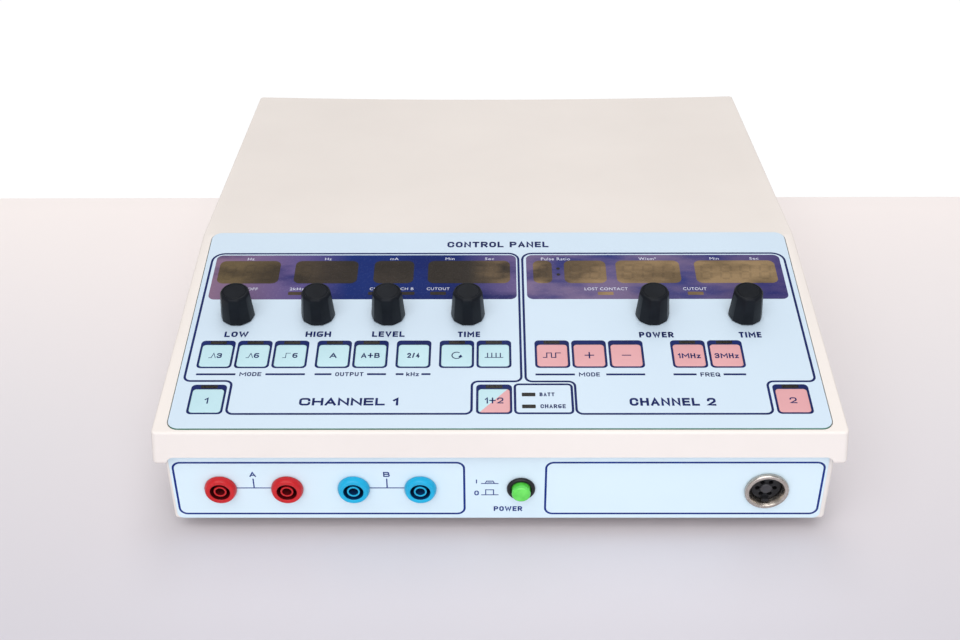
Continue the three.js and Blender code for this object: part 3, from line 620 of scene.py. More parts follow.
# Strokes of each letter in a unit box: corners (x, y), or (x, y, radius) where the corner is rounded.
BOWL = [(0, 0, 0.36), (1, 0, 0.36), (1, 1, 0.36), (0, 1, 0.36)]
STEM = [(0, 0), (0, 1)]
HOOK = [(0, 1), (1, 1, 0.25), (1, 0.45, 0.25), (0, 0.45)]
GLYPHS = {
    "A": [[(0, 0), (0.5, 1), (1, 0)], [(0.2, 0.3), (0.8, 0.3)]],
    "B": [
        STEM, [(0, 1), (0.9, 1, 0.2), (0.9, 0.53, 0.2), (0, 0.53)],
        [(0.5, 0.53), (1, 0.53, 0.23), (1, 0, 0.23), (0, 0)],
    ],
    "C": [[(1, 0.72), (1, 1, 0.26), (0, 1, 0.3), (0, 0, 0.3), (1, 0, 0.26), (1, 0.28)]],
    "D": [STEM, [(0, 1), (1, 1, 0.36), (1, 0, 0.36), (0, 0)]],
    "E": [[(1, 1), (0, 1), (0, 0), (1, 0)], [(0, 0.52), (0.9, 0.52)]],
    "F": [[(1, 1), (0, 1), (0, 0)], [(0, 0.5), (0.86, 0.5)]],
    "G": [[(0.95, 1), (0, 1, 0.3), (0, 0, 0.3), (1, 0, 0.25), (1, 0.42), (0.55, 0.42)]],
    "H": [STEM, [(1, 0), (1, 1)], [(0, 0.51), (1, 0.51)]],
    "I": [STEM],
    "L": [[(0, 1), (0, 0), (1, 0)]],
    "M": [[(0, 0), (0, 1), (0.5, 0.36), (1, 1), (1, 0)]],
    "N": [[(0, 0), (0, 1), (1, 0), (1, 1)]],
    "O": [],
    "P": [STEM, HOOK],
    "Q": [[(0.58, 0.34), (1.08, -0.08)]],
    "R": [STEM, HOOK, [(0.5, 0.45), (1, 0)]],
    "T": [[(0, 1), (1, 1)], [(0.5, 0), (0.5, 1)]],
    "U": [[(0, 1), (0, 0, 0.34), (1, 0, 0.34), (1, 1)]],
    "V": [[(0, 1), (0.5, 0), (1, 1)]],
    "W": [[(0, 1), (0.25, 0), (0.5, 0.85), (0.75, 0), (1, 1)]],
    "k": [STEM, [(0.9, 0.68), (0.05, 0.25)], [(0.38, 0.42), (1, 0)]],
    "z": [[(0, 0.64), (1, 0.64), (0, 0), (1, 0)]],
    "1": [[(0, 0.74), (1, 1), (1, 0)]],
    "2": [[(0, 0.74), (0, 1, 0.22), (1, 1, 0.24), (1, 0.55, 0.15), (0, 0), (1, 0)]],
    "3": [
        [(0, 0.8), (0, 1, 0.18), (1, 1, 0.2), (1, 0.54, 0.2), (0.4, 0.54)],
        [(0.7, 0.54), (1, 0.54, 0.2), (1, 0, 0.24), (0, 0, 0.18), (0, 0.2)],
    ],
    "4": [[(0.74, 0), (0.74, 1), (0, 0.3), (1, 0.3)]],
    "6": [[(0.95, 1), (0, 1, 0.3), (0, 0, 0.3), (1, 0, 0.24), (1, 0.57, 0.24), (0.1, 0.57)]],
    "+": [[(0, 0.5), (1, 0.5)], [(0.5, 0), (0.5, 1)]],
    "/": [[(0, 0), (1, 1)]],
    " ": [],
}
# Widths of the letters that aren't one unit wide.
GLYPH_WIDTH = {
    "I": 0.0, "1": 0.34, "/": 0.55, "E": 0.85, "F": 0.82, "L": 0.82, "M": 1.75, "W": 1.7, "z": 0.75,
    "k": 0.8, " ": 0.25,
}
LETTER_GAP = 0.16        # gap between letters, as a share of their height


def lettering(text, x, y, width, height, z0, z1, weight):
    """Drawn letters and figures of an even stroke, fitted to a width and height about a middle point."""
    gap = height * LETTER_GAP
    widths = [GLYPH_WIDTH.get(letter, 1.0) for letter in text]
    unit = (width - weight * len(text) - gap * (len(text) - 1)) / max(sum(widths), 0.1)
    rise = height - weight
    cursor = x - width / 2 + weight / 2
    meshes = []
    for letter, share in zip(text, widths):
        span = share * unit

        def placed(corners):
            spots = []
            for px, py, *rounding in corners:
                radius = min(rounding[0] * rise, 0.48 * span) if rounding else 0
                spots.append((cursor + px * span, y - rise / 2 + py * rise, radius))
            return spots

        for corners in GLYPHS[letter]:
            meshes.append(prism(pen_stroke(filleted(placed(corners), 5, False), weight), z0, z1))
        if letter in "OQ":
            meshes.append(sheet(loop_line(filleted(placed(BOWL), 7), weight), z0, z1))
        cursor += span + weight + gap
    return merged(meshes)


def small_type(text, x, y, width, height, z0, z1):
    """Small plain type fitted to a width and height about a middle point."""
    curve = bpy.data.curves.new("small_type", "FONT")
    curve.body = text
    curve.size = 1.0
    curve.resolution_u = 3
    curve.space_character = 1.08
    mesh = evaluated(temporary(curve))
    low = Vector(min(v.co[i] for v in mesh.vertices) for i in range(3))
    high = Vector(max(v.co[i] for v in mesh.vertices) for i in range(3))
    centre = (low + high) / 2
    scale = Matrix.Diagonal((width / (high.x - low.x), height / (high.y - low.y), 1, 1))
    mesh.transform(scale @ Matrix.Translation(-centre))
    bm = bmesh.new()
    bm.from_mesh(mesh)
    lift_faces(bm, z1 - z0)
    return moved(mesh_from(bm), x, y, z0)


def painted(mesh, test, index=1):
    """A mesh whose faces take a second material where the test holds for their centre."""
    for polygon in mesh.polygons:
        if test(polygon.center):
            polygon.material_index = index
    return mesh


# ---------------------------------------------------------------- case

cover_low, cover_high = (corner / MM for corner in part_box("top_cover"))
COVER_WIDTH = cover_high.x - cover_low.x
COVER_DEPTH = cover_high.y - cover_low.y
TOP_Z = cover_high.z
SKIRT_Z = 45.4           # lower edge of the cover's sides and of the ends of its front lip
LIP_Z = 49.2             # lower edge of the middle of the front lip
LIP_HALF = 149.4         # half the width of that middle
LIP_CORNER = 3.4
COVER_WALL = 3.0
DECK_WALL = 3.6
DRAFT = math.tan(math.radians(3))
DECK_EDGE_Z = deck_origin.z / MM
DECK_EDGE_Y = deck_origin.y / MM
DECK_TAN = deck_up.z / deck_up.y
CREASE_Y = DECK_EDGE_Y + (TOP_Z - DECK_EDGE_Z) / DECK_TAN
REAR_SAG = 2.1           # how far the middle of the rear top edge hangs below its ends


# Ways a face can look, as tests on its normal.
FACING = {
    "side": lambda n: abs(n.x) > 0.9,
    "end": lambda n: abs(n.y) > 0.9,
    "up": lambda n: n.z > 0.9,
    "down": lambda n: n.z < -0.9,
    "wall": lambda n: abs(n.z) < 0.3,
}
# Rounded edges: the ways the two faces of an edge look, its radius and its segments.
COVER_EDGES = [("side", "end", 2.5, 6), ("wall", "up", 1.0, 5), ("wall", "down", 1.9, 5)]
TRAY_EDGES = [("side", "end", 2.2, 6), ("wall", "down", 2.0, 6)]


def round_edges(bm, first, second, radius, segments):
    """Rounds the edges between faces that look the first way and faces that look the second."""
    first, second = FACING[first], FACING[second]
    edges = []
    for edge in bm.edges:
        if len(edge.link_faces) == 2:
            a, b = (face.normal for face in edge.link_faces)
            if (first(a) and second(b)) or (first(b) and second(a)):
                edges.append(edge)
    bevel_edges(bm, edges, radius, segments)
    bm.normal_update()


def solid_block(rows, edges):
    """A closed block through rows of corner points, with some of its edges rounded."""
    bm = bmesh.new()
    grid = [[bm.verts.new(point) for point in row] for row in rows]
    count = len(grid[0])
    for left, right in zip(grid, grid[1:]):
        for j in range(count):
            k = (j + 1) % count
            bm.faces.new((left[j], right[j], right[k], left[k]))
    bm.faces.new(grid[0])
    bm.faces.new(reversed(grid[-1]))
    bmesh.ops.recalc_face_normals(bm, faces=bm.faces)
    bm.normal_update()
    for edge in edges:
        round_edges(bm, *edge)
    return bm


COVER_COLUMNS = 24
SAG_DEPTH = 9            # how far below the top the cover still follows the sagging edge


def cover_block(inset, drop, bottom, edges=()):
    """The drafted wedge of the cover, or of the space inside it."""
    half_width = COVER_WIDTH / 2 - inset
    half_depth = COVER_DEPTH / 2 - inset

    def lean(z):
        return (z - SKIRT_Z) * DRAFT

    top = TOP_Z - drop
    front_y = -half_depth + lean(DECK_EDGE_Z - drop)
    front_z = top - (CREASE_Y - front_y) * DECK_TAN
    profile = [
        (-half_depth + lean(bottom), bottom),
        (-half_depth + lean(front_z), front_z),
        (CREASE_Y, top),
        (half_depth - lean(top), top),
        (half_depth - lean(bottom), bottom),
    ]
    rows = []
    for i in range(COVER_COLUMNS + 1):
        across = -1 + 2 * i / COVER_COLUMNS
        rows.append([(across * (half_width - lean(z)), y, z) for y, z in profile])
    bm = solid_block(rows, edges)
    for vert in bm.verts:
        rise = (vert.co.y - CREASE_Y) / (COVER_DEPTH / 2 - CREASE_Y)
        if vert.co.z > TOP_Z - SAG_DEPTH and rise > 0:
            across = vert.co.x / (COVER_WIDTH / 2)
            vert.co.z -= REAR_SAG * (1 - across * across) * rise * rise * (3 - 2 * min(rise, 1))
    return mesh_from(bm)


def upright(outline, y0, y1):
    """A prism whose (x, z) outline faces the front."""
    mesh = prism(outline, y0, y1)
    mesh.transform(Matrix(((1, 0, 0, 0), (0, 0, 1, 0), (0, 1, 0, 0), (0, 0, 0, 1))))
    mesh.flip_normals()
    return mesh


FILM = {"half": 148.2, "low": 2.4, "high": 144.9, "corner": 5.0, "bottom": -0.7, "top": 0.4}
RECESS_MARGIN = 0.5
RECESS_DEPTH = 1.6
CLEAR = 6                # how far a cutting shape reaches past the surface it cuts


def weighted(made):
    """Shading that keeps the large flat faces flat."""
    change = made.modifiers.new("weighted_normals", "WEIGHTED_NORMAL")
    change.keep_sharp = True
    change.weight = 100


def local_to(mesh, matrix):
    """A mesh drawn on a plane, as it lies in the world's millimetres."""
    mesh.transform(WORLD.inverted() @ matrix)
    return mesh


def make_cover():
    cavity = cover_block(COVER_WALL, DECK_WALL, SKIRT_Z - 2)
    body = boolean(cover_block(0, 0, SKIRT_Z, COVER_EDGES), "DIFFERENCE", cavity)
    side, height = LIP_HALF - LIP_CORNER, LIP_Z - LIP_CORNER
    outline = [(LIP_HALF, SKIRT_Z - CLEAR)]
    outline += arc(side, height, LIP_CORNER, 0, 90, 8) + arc(-side, height, LIP_CORNER, 90, 180, 8)
    outline += [(-LIP_HALF, SKIRT_Z - CLEAR)]
    notch = upright(outline, -COVER_DEPTH / 2 - 5, -COVER_DEPTH / 2 + COVER_WALL + 1)
    body = boolean(body, "DIFFERENCE", notch)
    half, margin = FILM["half"] + RECESS_MARGIN, RECESS_MARGIN
    outline = round_rect(-half, half, FILM["low"] - margin, FILM["high"] + margin, FILM["corner"] + margin)
    body = boolean(body, "DIFFERENCE", local_to(prism(outline, -RECESS_DEPTH, CLEAR), DECK))
    weighted(piece("case_cover", body, WORLD, "casing", CASE, 32, ["top_cover"]))


BASE_HALF = 151.8
BASE_Z = 7.4
BASE_WALL = 3.0
BASE_RIM_Z = 55.0
BASE_REAR_Y = inlet_mount["pos_m"][1] / MM - INLET_FACE
PANEL_POINT = PANEL.translation / MM
PANEL_TAN = -(PANEL.col[1].y / PANEL.col[1].z)
PANEL_SLANT = 1.0075     # length along Y of a millimetre through the slanted front wall
PILLARS = [(x, y) for x in (-143.5, 143.5) for y in (-151, 151)]
PILLAR_RADIUS = 5.2
PILLAR_TOP = 20.3
SOCKET_NODES = ["socket_a_left", "socket_a_right", "socket_b_left", "socket_b_right"]
SOCKET_X = {name: middle(name, PANEL).x for name in SOCKET_NODES}
BUTTON_X = middle("power_button", PANEL).x
DIN_AT = middle("din_shell", PANEL)
INLET_AT = middle("mains_inlet", REAR)
PANEL_HOLES = [circle(x, 0, 6.4) for x in SOCKET_X.values()]
PANEL_HOLES += [circle(BUTTON_X, 0, 5.8), circle(DIN_AT.x, DIN_AT.y, 8.2)]
THROUGH_WALL = (-5, 2)   # heights between which a wall is cut right through
VENT_SLOTS, VENT_X, VENT_PITCH = 10, -60, 6


def tray_block(inset, bottom, top, edges=()):
    """The tray with its slanted front wall, or the space inside it."""
    def front(z):
        return PANEL_POINT.y + (PANEL_POINT.z - z) * PANEL_TAN + inset * PANEL_SLANT

    rear = BASE_REAR_Y - inset
    profile = [(front(bottom), bottom), (rear, bottom), (rear, top), (front(top), top)]
    half = BASE_HALF - inset
    return mesh_from(solid_block([[(x, y, z) for y, z in profile] for x in (-half, half)], edges))


def make_tray():
    cavity = tray_block(BASE_WALL, BASE_Z + BASE_WALL, BASE_RIM_Z + 1)
    body = boolean(tray_block(0, BASE_Z, BASE_RIM_Z, TRAY_EDGES), "DIFFERENCE", cavity)
    foot = BASE_Z + BASE_WALL - 1
    posts = [prism(circle(x, y, PILLAR_RADIUS, 32), foot, PILLAR_TOP) for x, y in PILLARS]
    body = boolean(body, "UNION", merged(posts))
    rear_holes = [round_rect(INLET_AT.x - 14.1, INLET_AT.x + 14.1, -15.1, 15.1, 1)]
    for i in range(VENT_SLOTS):
        x = VENT_X + (i - (VENT_SLOTS - 1) / 2) * VENT_PITCH
        rear_holes.append(round_rect(x - 1.2, x + 1.2, -9, 9, 1.1))
    cuts = [local_to(prism(hole, *THROUGH_WALL), PANEL) for hole in PANEL_HOLES]
    cuts += [local_to(prism(hole, *THROUGH_WALL), REAR) for hole in rear_holes]
    for x, y in PILLARS:
        bore = turned([(0, 5), (4, 5), (4, 12), (2.3, 12), (2.3, 22), (0, 22)], 32)
        cuts.append(moved(bore, x, y))
    body = boolean(body, "DIFFERENCE", merged(cuts))
    weighted(piece("case_tray", body, WORLD, "tray", CASE, 32, ["base_tray"]))


make_cover()
make_tray()

# ---------------------------------------------------------------- feet

for node in ("foot_front_left", "foot_front_right", "foot_rear_left", "foot_rear_right"):
    low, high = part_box(node)
    radius = (high.x - low.x) / 2 / MM
    height = (high.z - low.z) / MM
    shape = turned([
        (0, 1.2), (3.2, 1.2), (3.6, 0.6), (4.2, 0.1), (radius - 1.6, 0), (radius - 1.0, 0.2),
        (radius - 0.6, 0.8), (radius, height - 0.6), (radius - 0.3, height), (0, height),
    ], 48)
    moved(shape, (low.x + high.x) / 2 / MM, (low.y + high.y) / 2 / MM)
    piece(node + "_pad", shape, WORLD, "rubber", CASE, 35, [node])

# ---------------------------------------------------------------- deck film and keys

KEY_NODES = [node for node in NODES if node.startswith("key_")]
KEY_AT = {node: middle(node, DECK) for node in KEY_NODES}
KEY_SIZE = (14.3, 15.0)
KEY_CORNER = 1.6
KEY_GAP = 0.12
KNOB_NODES = [node for node in NODES if node.endswith("_knob")]
KNOB_X = {node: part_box(node)[0].x / MM / 2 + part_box(node)[1].x / MM / 2 for node in KNOB_NODES}
KNOB_HOLE = 4.6
INK_ROOT = 0.02          # how deep printed ink reaches into its film
INK = (FILM["top"] - INK_ROOT, FILM["top"] + 0.04)       # printed ink, proud of the film
OVER_INK = (FILM["top"] - INK_ROOT, FILM["top"] + 0.07)  # a second layer over that ink
TOP_INK = (FILM["top"] - INK_ROOT, FILM["top"] + 0.1)    # a third layer, over both


def key_outline(at, grow=0.0):
    half_x, half_y = KEY_SIZE[0] / 2 + grow, KEY_SIZE[1] / 2 + grow
    return round_rect(at.x - half_x, at.x + half_x, at.y - half_y, at.y + half_y, KEY_CORNER + grow, 6)


film_holes = [key_outline(KEY_AT[node], KEY_GAP) for node in KEY_NODES]
film_holes += [circle(x, KNOB_ROW, KNOB_HOLE, 32) for x in KNOB_X.values()]
film_outline = round_rect(-FILM["half"], FILM["half"], FILM["low"], FILM["high"], FILM["corner"], 12)
film = sheet([film_outline] + film_holes, FILM["bottom"], FILM["top"])
inks = ["film", "film_edge"]
deck_film = piece("deck_film", film, DECK, inks, CASE, None, ["control_overlay"])
for polygon in deck_film.data.polygons:
    upwards = abs(polygon.normal.dot(deck_normal))
    polygon.material_index = 0 if upwards > 0.5 else 1


KEY_FRAME = (8.2, 8.55, 10.6, 2.1)   # half width, reach below and above the key's middle, corner radius


def frame_outline(at):
    """The dark printed frame round a key: a thin line with a deep band above it."""
    half, below, above, corner = KEY_FRAME
    return round_rect(at.x - half, at.x + half, at.y - below, at.y + above, corner, 6)


def deck_print(name, meshes, ink):
    """One printed layer of the deck film."""
    piece(name, merged(meshes), DECK, ink, CASE)


navy = []
for node in KEY_NODES:
    at = KEY_AT[node]
    navy.append(sheet([frame_outline(at), key_outline(at, KEY_GAP)], *INK))

FIELD_LINE = 1.12        # widths of the printed lines
LEGEND_LINE = 1.2
left_field = filleted([
    (-145.4, 127.4, 6), (-145.4, 33.0, 3), (-123.0, 33.0, 3), (-123.0, 11.5, 3),
    (-12.5, 11.5, 3), (-12.5, 32.6, 3), (10.3, 32.6, 3), (10.3, 127.4, 5),
])
right_field = filleted([
    (12.3, 127.4, 5), (12.3, 32.5, 3), (34.8, 32.5, 3), (34.8, 11.4, 3),
    (123.0, 11.4, 3), (123.0, 32.5, 3), (145.4, 32.5, 3), (145.4, 127.4, 6),
])
navy.append(sheet(loop_line(left_field, FIELD_LINE), *INK))
navy.append(sheet(loop_line(right_field, FIELD_LINE), *INK))
navy.append(sheet(loop_line(round_rect(7.2, 33.2, 11.8, 30.6, 1.8), FIELD_LINE), *INK))

LEGEND_LINES = [
    (-140.4, -122.1, 37.5), (-108.2, -89.9, 37.5), (-85.4, -77.6, 37.5), (-61.1, -52.3, 37.5),
    (-47.8, -44.2, 37.5), (-35.9, -31.7, 37.5), (16.9, 35.1, 37.2), (49.6, 67.6, 37.2),
    (80.7, 91.3, 37.2), (103.8, 114.2, 37.2),
]
for x0, x1, y in LEGEND_LINES:
    navy.append(sheet([bar_line(x0, y, x1, y, LEGEND_LINE)], *INK))

DECK_WORDS = [
    ("CONTROL PANEL", 0.0, 134.8, 52.0, 4.6),
    ("LOW", -125.4, 65.4, 11.4, 3.9), ("HIGH", -86.2, 65.4, 12.2, 3.9),
    ("LEVEL", -52.7, 65.4, 15.6, 3.9), ("TIME", -14.2, 65.2, 10.6, 3.9),
    ("POWER", 75.2, 64.8, 16.4, 3.95), ("TIME", 119.9, 64.7, 10.6, 3.95),
    ("CHANNEL 1", -68.2, 19.3, 45.0, 4.8), ("CHANNEL 2", 78.5, 19.1, 39.0, 5.0),
]
BOLD, THIN = 0.92, 0.52  # stroke widths
BOLD_SHARE = 0.23        # stroke width of the tallest words, as a share of their height
THIN_WORDS = [
    ("MODE", -115.2, 37.6, 10.1, 2.65), ("OUTPUT", -69.3, 37.5, 13.1, 2.65),
    ("kHz", -40.0, 37.5, 5.9, 2.65),
    ("MODE", 41.8, 37.2, 9.7, 2.7), ("FREQ", 97.6, 37.1, 9.0, 2.7),
    ("BATT", 21.8, 24.0, 6.8, 2.4), ("CHARGE", 24.3, 16.3, 11.4, 2.5),
]
for word in DECK_WORDS:
    navy.append(lettering(*word, *INK, max(BOLD, BOLD_SHARE * word[-1])))
for word in THIN_WORDS:
    navy.append(lettering(*word, *INK, THIN))
deck_print("deck_print_navy", navy, "navy")

BAND_LOW, BAND_HIGH = 91.2, 126.0
for x0, x1, side in ((-143.2, 9.1, "left"), (14.2, 142.9, "right")):
    band = prism(round_rect(x0, x1, BAND_LOW, BAND_HIGH, 3.2), *INK)
    deck_print("display_band_" + side, [band], "band_" + side)

WINDOWS = [
    (-140.8, -110.0, 3), (-102.4, -70.6, 3), (-62.5, -42.4, 2), (-35.3, 6.0, 4),
    (17.6, 27.1, 1), (33.2, 54.3, 2), (59.3, 91.5, 3), (99.0, 139.7, 4),
]
WINDOW_LOW, WINDOW_HIGH = 103.5, 121.4
WINDOW_CORNER = 3.4
LAMPS = [
    (-130.0, 95.7), (-100.1, 95.7), (-88.0, 95.7), (-60.5, 95.7), (-45.3, 95.7), (-29.8, 95.7),
    (53.0, 95.5), (76.5, 95.5), (97.4, 95.5), (121.0, 95.5),
]


def window(x0, x1, y0, y1, corner, steps):
    """A dark window printed over the deck's ink."""
    return prism(round_rect(x0, x1, y0, y1, corner, steps), *OVER_INK)


glass = [window(x0, x1, WINDOW_LOW, WINDOW_HIGH, WINDOW_CORNER, 8) for x0, x1, _ in WINDOWS]
glass += [window(x - 3.9, x + 3.9, y - 1.2, y + 1.2, 0.4, 3) for x, y in LAMPS]
deck_print("display_windows", glass, "window")


DIGIT_SLANT = 0.1        # sideways lean of the digits for each unit of height
DIGIT_HEIGHT, DIGIT_STROKE, DIGIT_PITCH = 11.0, 1.1, 10.2


def unlit_digit(cx, cy, width, height, stroke):
    """The seven bars of an unlit digit."""
    half_w, half_h = width / 2, height / 2
    gap = stroke * 0.7
    bars = []
    for y in (-half_h, 0, half_h):
        bars.append((cx - half_w + gap, cy + y, cx + half_w - gap, cy + y))
    for x in (-half_w, half_w):
        for y0, y1 in ((-half_h, 0), (0, half_h)):
            bars.append((cx + x, cy + y0 + gap, cx + x, cy + y1 - gap))
    slanted = []
    for x0, y0, x1, y1 in bars:
        slanted.append(bar_line(x0 + (y0 - cy) * DIGIT_SLANT, y0, x1 + (y1 - cy) * DIGIT_SLANT, y1, stroke))
    return slanted


digits = []
for x0, x1, count in WINDOWS:
    pitch = min((x1 - x0 - 1.5) / count, DIGIT_PITCH)
    for i in range(count):
        cx = (x0 + x1) / 2 + (i - (count - 1) / 2) * pitch
        cy = (WINDOW_LOW + WINDOW_HIGH) / 2
        for outline in unlit_digit(cx, cy, pitch * 0.5, DIGIT_HEIGHT, DIGIT_STROKE):
            digits.append(prism(outline, *TOP_INK))
deck_print("unlit_digits", digits, "digit")

dark = []
for node in KEY_NODES:
    if node not in ("key_carrier", "key_plus", "key_minus"):
        at = KEY_AT[node]
        dark.append(window(at.x - 3.85, at.x + 3.85, at.y + 8.1, at.y + 10.2, 0.3, 2))
for y in (23.9, 16.2):
    dark.append(window(10.3, 16.5, y - 1.15, y + 1.15, 0.3, 2))
for y in (110.3, 115.0):
    dark.append(prism(circle(30.2, y, 0.95, 20), *OVER_INK))
deck_print("lamp_windows", dark, "lamp")

WHITE_WORDS = [
    ("Hz", -125.7, 123.0, 3.4, 1.9), ("Hz", -86.3, 123.0, 3.4, 1.9), ("mA", -52.7, 123.0, 4.2, 1.9),
    ("Min", -24.4, 123.0, 4.6, 1.9), ("Sec", -4.3, 123.0, 4.6, 1.9), ("Pulse Ratio", 29.2, 122.8, 14.7, 2.2),
    ("W/cm²", 75.8, 122.9, 8.8, 2.1), ("Min", 109.8, 123.0, 4.6, 1.9), ("Sec", 130.0, 123.0, 4.6, 1.9),
    ("OFF", -122.0, 99.2, 5.2, 2.0), ("2kHz", -100.0, 99.2, 7.0, 2.0), ("4kHz", -88.0, 99.2, 7.0, 2.0),
    ("CH A", -60.5, 99.2, 6.5, 2.0), ("CH B", -45.3, 99.2, 6.5, 2.0), ("CUTOUT", -29.8, 99.2, 11.3, 2.0),
    ("LOST CONTACT", 53.5, 99.0, 21.4, 2.1), ("PULSE", 76.5, 99.0, 8.6, 2.1),
    ("CUTOUT", 97.4, 99.0, 11.6, 2.1), ("TEST", 121.0, 99.0, 6.6, 2.1),
]
deck_print("display_print_white", [small_type(*word, *OVER_INK) for word in WHITE_WORDS], "white_ink")

KEY_TOP = 0.55
KEY_INK = (KEY_TOP - 0.05, KEY_TOP + 0.03)
KEY_STROKE = 0.66


def key_pad(at):
    """A thin embossed pad whose flat face has a softly rounded rim."""
    bm = bmesh.new()
    rows = [(0.0, -0.25), (0.0, KEY_TOP - 0.2), (0.06, KEY_TOP - 0.08), (0.2, KEY_TOP - 0.02), (0.5, KEY_TOP)]
    rings = []
    for inset, z in rows:
        half_x, half_y = KEY_SIZE[0] / 2 - inset, KEY_SIZE[1] / 2 - inset
        outline = round_rect(-half_x, half_x, -half_y, half_y, KEY_CORNER - inset * 0.6, 6)
        rings.append([bm.verts.new((at.x + x, at.y + y, z)) for x, y in outline])
    bridge(bm, rings)
    bm.faces.new(rings[-1])
    bm.faces.new(reversed(rings[0]))
    return mesh_from(bm)


def split_colours(mesh, at):
    """Two printed colours meeting on a diagonal that rises to the right."""
    bm = bmesh.new()
    bm.from_mesh(mesh)
    point = Vector((at.x - 1.0, at.y - 1.0, 0))
    normal = Vector((1, -0.86, 0)).normalized()
    geometry = list(bm.verts) + list(bm.edges) + list(bm.faces)
    bmesh.ops.bisect_plane(bm, geom=geometry, plane_co=point, plane_no=normal)
    for face in bm.faces:
        face.material_index = 1 if (face.calc_center_median() - point).dot(normal) > 0 else 0
    mesh.clear_geometry()
    bm.to_mesh(mesh)
    bm.free()
    return mesh


def tick_wave(x, y):
    """A triangular pulse sign."""
    return polyline([(x - 1.6, y - 1.5), (x - 0.5, y - 1.5), (x + 0.4, y + 1.6), (x + 1.5, y - 1.5)], 0.32)


def step_wave(x, y):
    """A stepped pulse sign."""
    return polyline([(x - 1.8, y - 1.5), (x - 0.4, y - 1.5), (x - 0.4, y + 1.6), (x + 1.6, y + 1.6)], 0.32)


def swirl(x, y):
    """A turning arrow sign for the moving field."""
    ring = arc(x, y, 2.2, 60, 330, 14)
    x, y = ring[-1]
    return polyline(ring, 0.5) + [[(x - 1.3, y - 0.1), (x + 0.9, y - 0.2), (x + 0.1, y + 1.6)]]


def square_wave(x, y):
    """A square pulse sign."""
    points = [
        (-4.2, -1.5), (-2.6, -1.5), (-2.6, 1.6), (-0.4, 1.6), (-0.4, -1.5), (1.6, -1.5), (1.6, 1.6),
        (3.8, 1.6),
    ]
    return polyline([(x + a, y + b) for a, b in points], 0.5)


def burst(x, y):
    """A row of needle pulses."""
    outlines = [bar_line(x - 4.4, y - 1.5, x + 4.4, y - 1.5, 0.4)]
    for dx in (-3, -1, 1, 3):
        outlines.append(bar_line(x + dx, y - 1.5, x + dx, y + 1.7, 0.5))
    return outlines


KEY_WORDS = {
    "key_wave_1": [("3", 1.6, 0, 2.4, 3.3)], "key_wave_2": [("6", 1.6, 0, 2.4, 3.3)],
    "key_wave_3": [("6", 2.2, 0, 2.4, 3.3)], "key_output_a": [("A", 0, 0, 3.4, 3.4)],
    "key_output_ab": [("A+B", 0, 0, 8.8, 3.4)], "key_carrier": [("2/4", 0, 0, 5.8, 3.4)],
    "key_plus": [("+", 0, 0, 4.4, 4.4)], "key_frequency_1": [("1MHz", 0, -0.4, 10.6, 3.4)],
    "key_frequency_3": [("3MHz", 0, -0.4, 11.2, 3.4)], "key_left_mode": [("1", 0, 0, 1.7, 3.8)],
    "key_combined_mode": [("1+2", 0, 0, 8.4, 3.8)], "key_right_mode": [("2", 0, 0, 3.2, 3.8)],
}
KEY_SIGNS = {
    "key_wave_1": (tick_wave, -1.6), "key_wave_2": (tick_wave, -1.6), "key_wave_3": (step_wave, -1.7),
    "key_vector": (swirl, 0), "key_stimulate": (burst, 0), "key_pulse": (square_wave, 0),
}
for node in KEY_NODES:
    at = KEY_AT[node]
    at.z = 0
    pad = key_pad(at)
    colours = "pink" if SLOTS[node] == "key_pink" else "aqua"
    if SLOTS[node] == "key_two_tone":
        pad = split_colours(pad, at)
        colours = ["aqua", "pink"]
    piece(node + "_pad", pad, DECK, colours, node, 30, [node])
    legend = []
    for text, dx, dy, width, height in KEY_WORDS.get(node, []):
        legend.append(lettering(text, at.x + dx, at.y + dy, width, height, *KEY_INK, KEY_STROKE))
    if node in KEY_SIGNS:
        sign, dx = KEY_SIGNS[node]
        for outline in sign(at.x + dx, at.y):
            legend.append(prism(outline, *KEY_INK))
    if node == "key_minus":
        legend.append(prism(bar_line(at.x - 2.2, at.y, at.x + 2.2, at.y, 0.55), *KEY_INK))
    piece(node + "_legend", merged(legend), DECK, "navy", node)

# ---------------------------------------------------------------- knobs

for node in KNOB_NODES:
    body = frame["nodes"][node]["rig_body"]
    shell = turned([
        (3.3, KNOB_FOOT), (7.75, KNOB_FOOT), (8.15, 0.95), (8.25, 1.5), (7.16, 14.4), (7.05, 14.9),
        (6.75, 15.45), (6.3, 15.85), (5.8, 16.0),
    ], 160, 10, 0.7)
    crown = turned([
        (5.8, 16.0), (5.6, 15.72), (5.3, 15.72), (5.1, 15.9), (3.0, 15.84), (0, 15.82),
    ], 160)
    inside = turned([(0, 11.3), (3.3, 11.3), (3.3, KNOB_FOOT)], 160)
    knob = moved(merged([shell, crown, inside]), KNOB_X[node], KNOB_ROW)
    piece(node + "_body", knob, DECK, "knob", body, 24, [node])

# ---------------------------------------------------------------- front film

LABEL = {"left": -149.9, "right": 148.9, "low": -18.8, "high": 20.3, "bottom": 0.3, "top": 0.7}
PRINT_ROW = -0.9         # middle of the printed signs, a little under the socket row
FIELD_LOW, FIELD_HIGH = -16.1, 15.4
PRINT = (LABEL["top"] - INK_ROOT, LABEL["top"] + 0.04)
outline = round_rect(LABEL["left"], LABEL["right"], LABEL["low"], LABEL["high"], 3, 10)
film = sheet([outline] + PANEL_HOLES, LABEL["bottom"], LABEL["top"])
piece("front_film", film, PANEL, "front_film", CASE, None, ["front_label"])

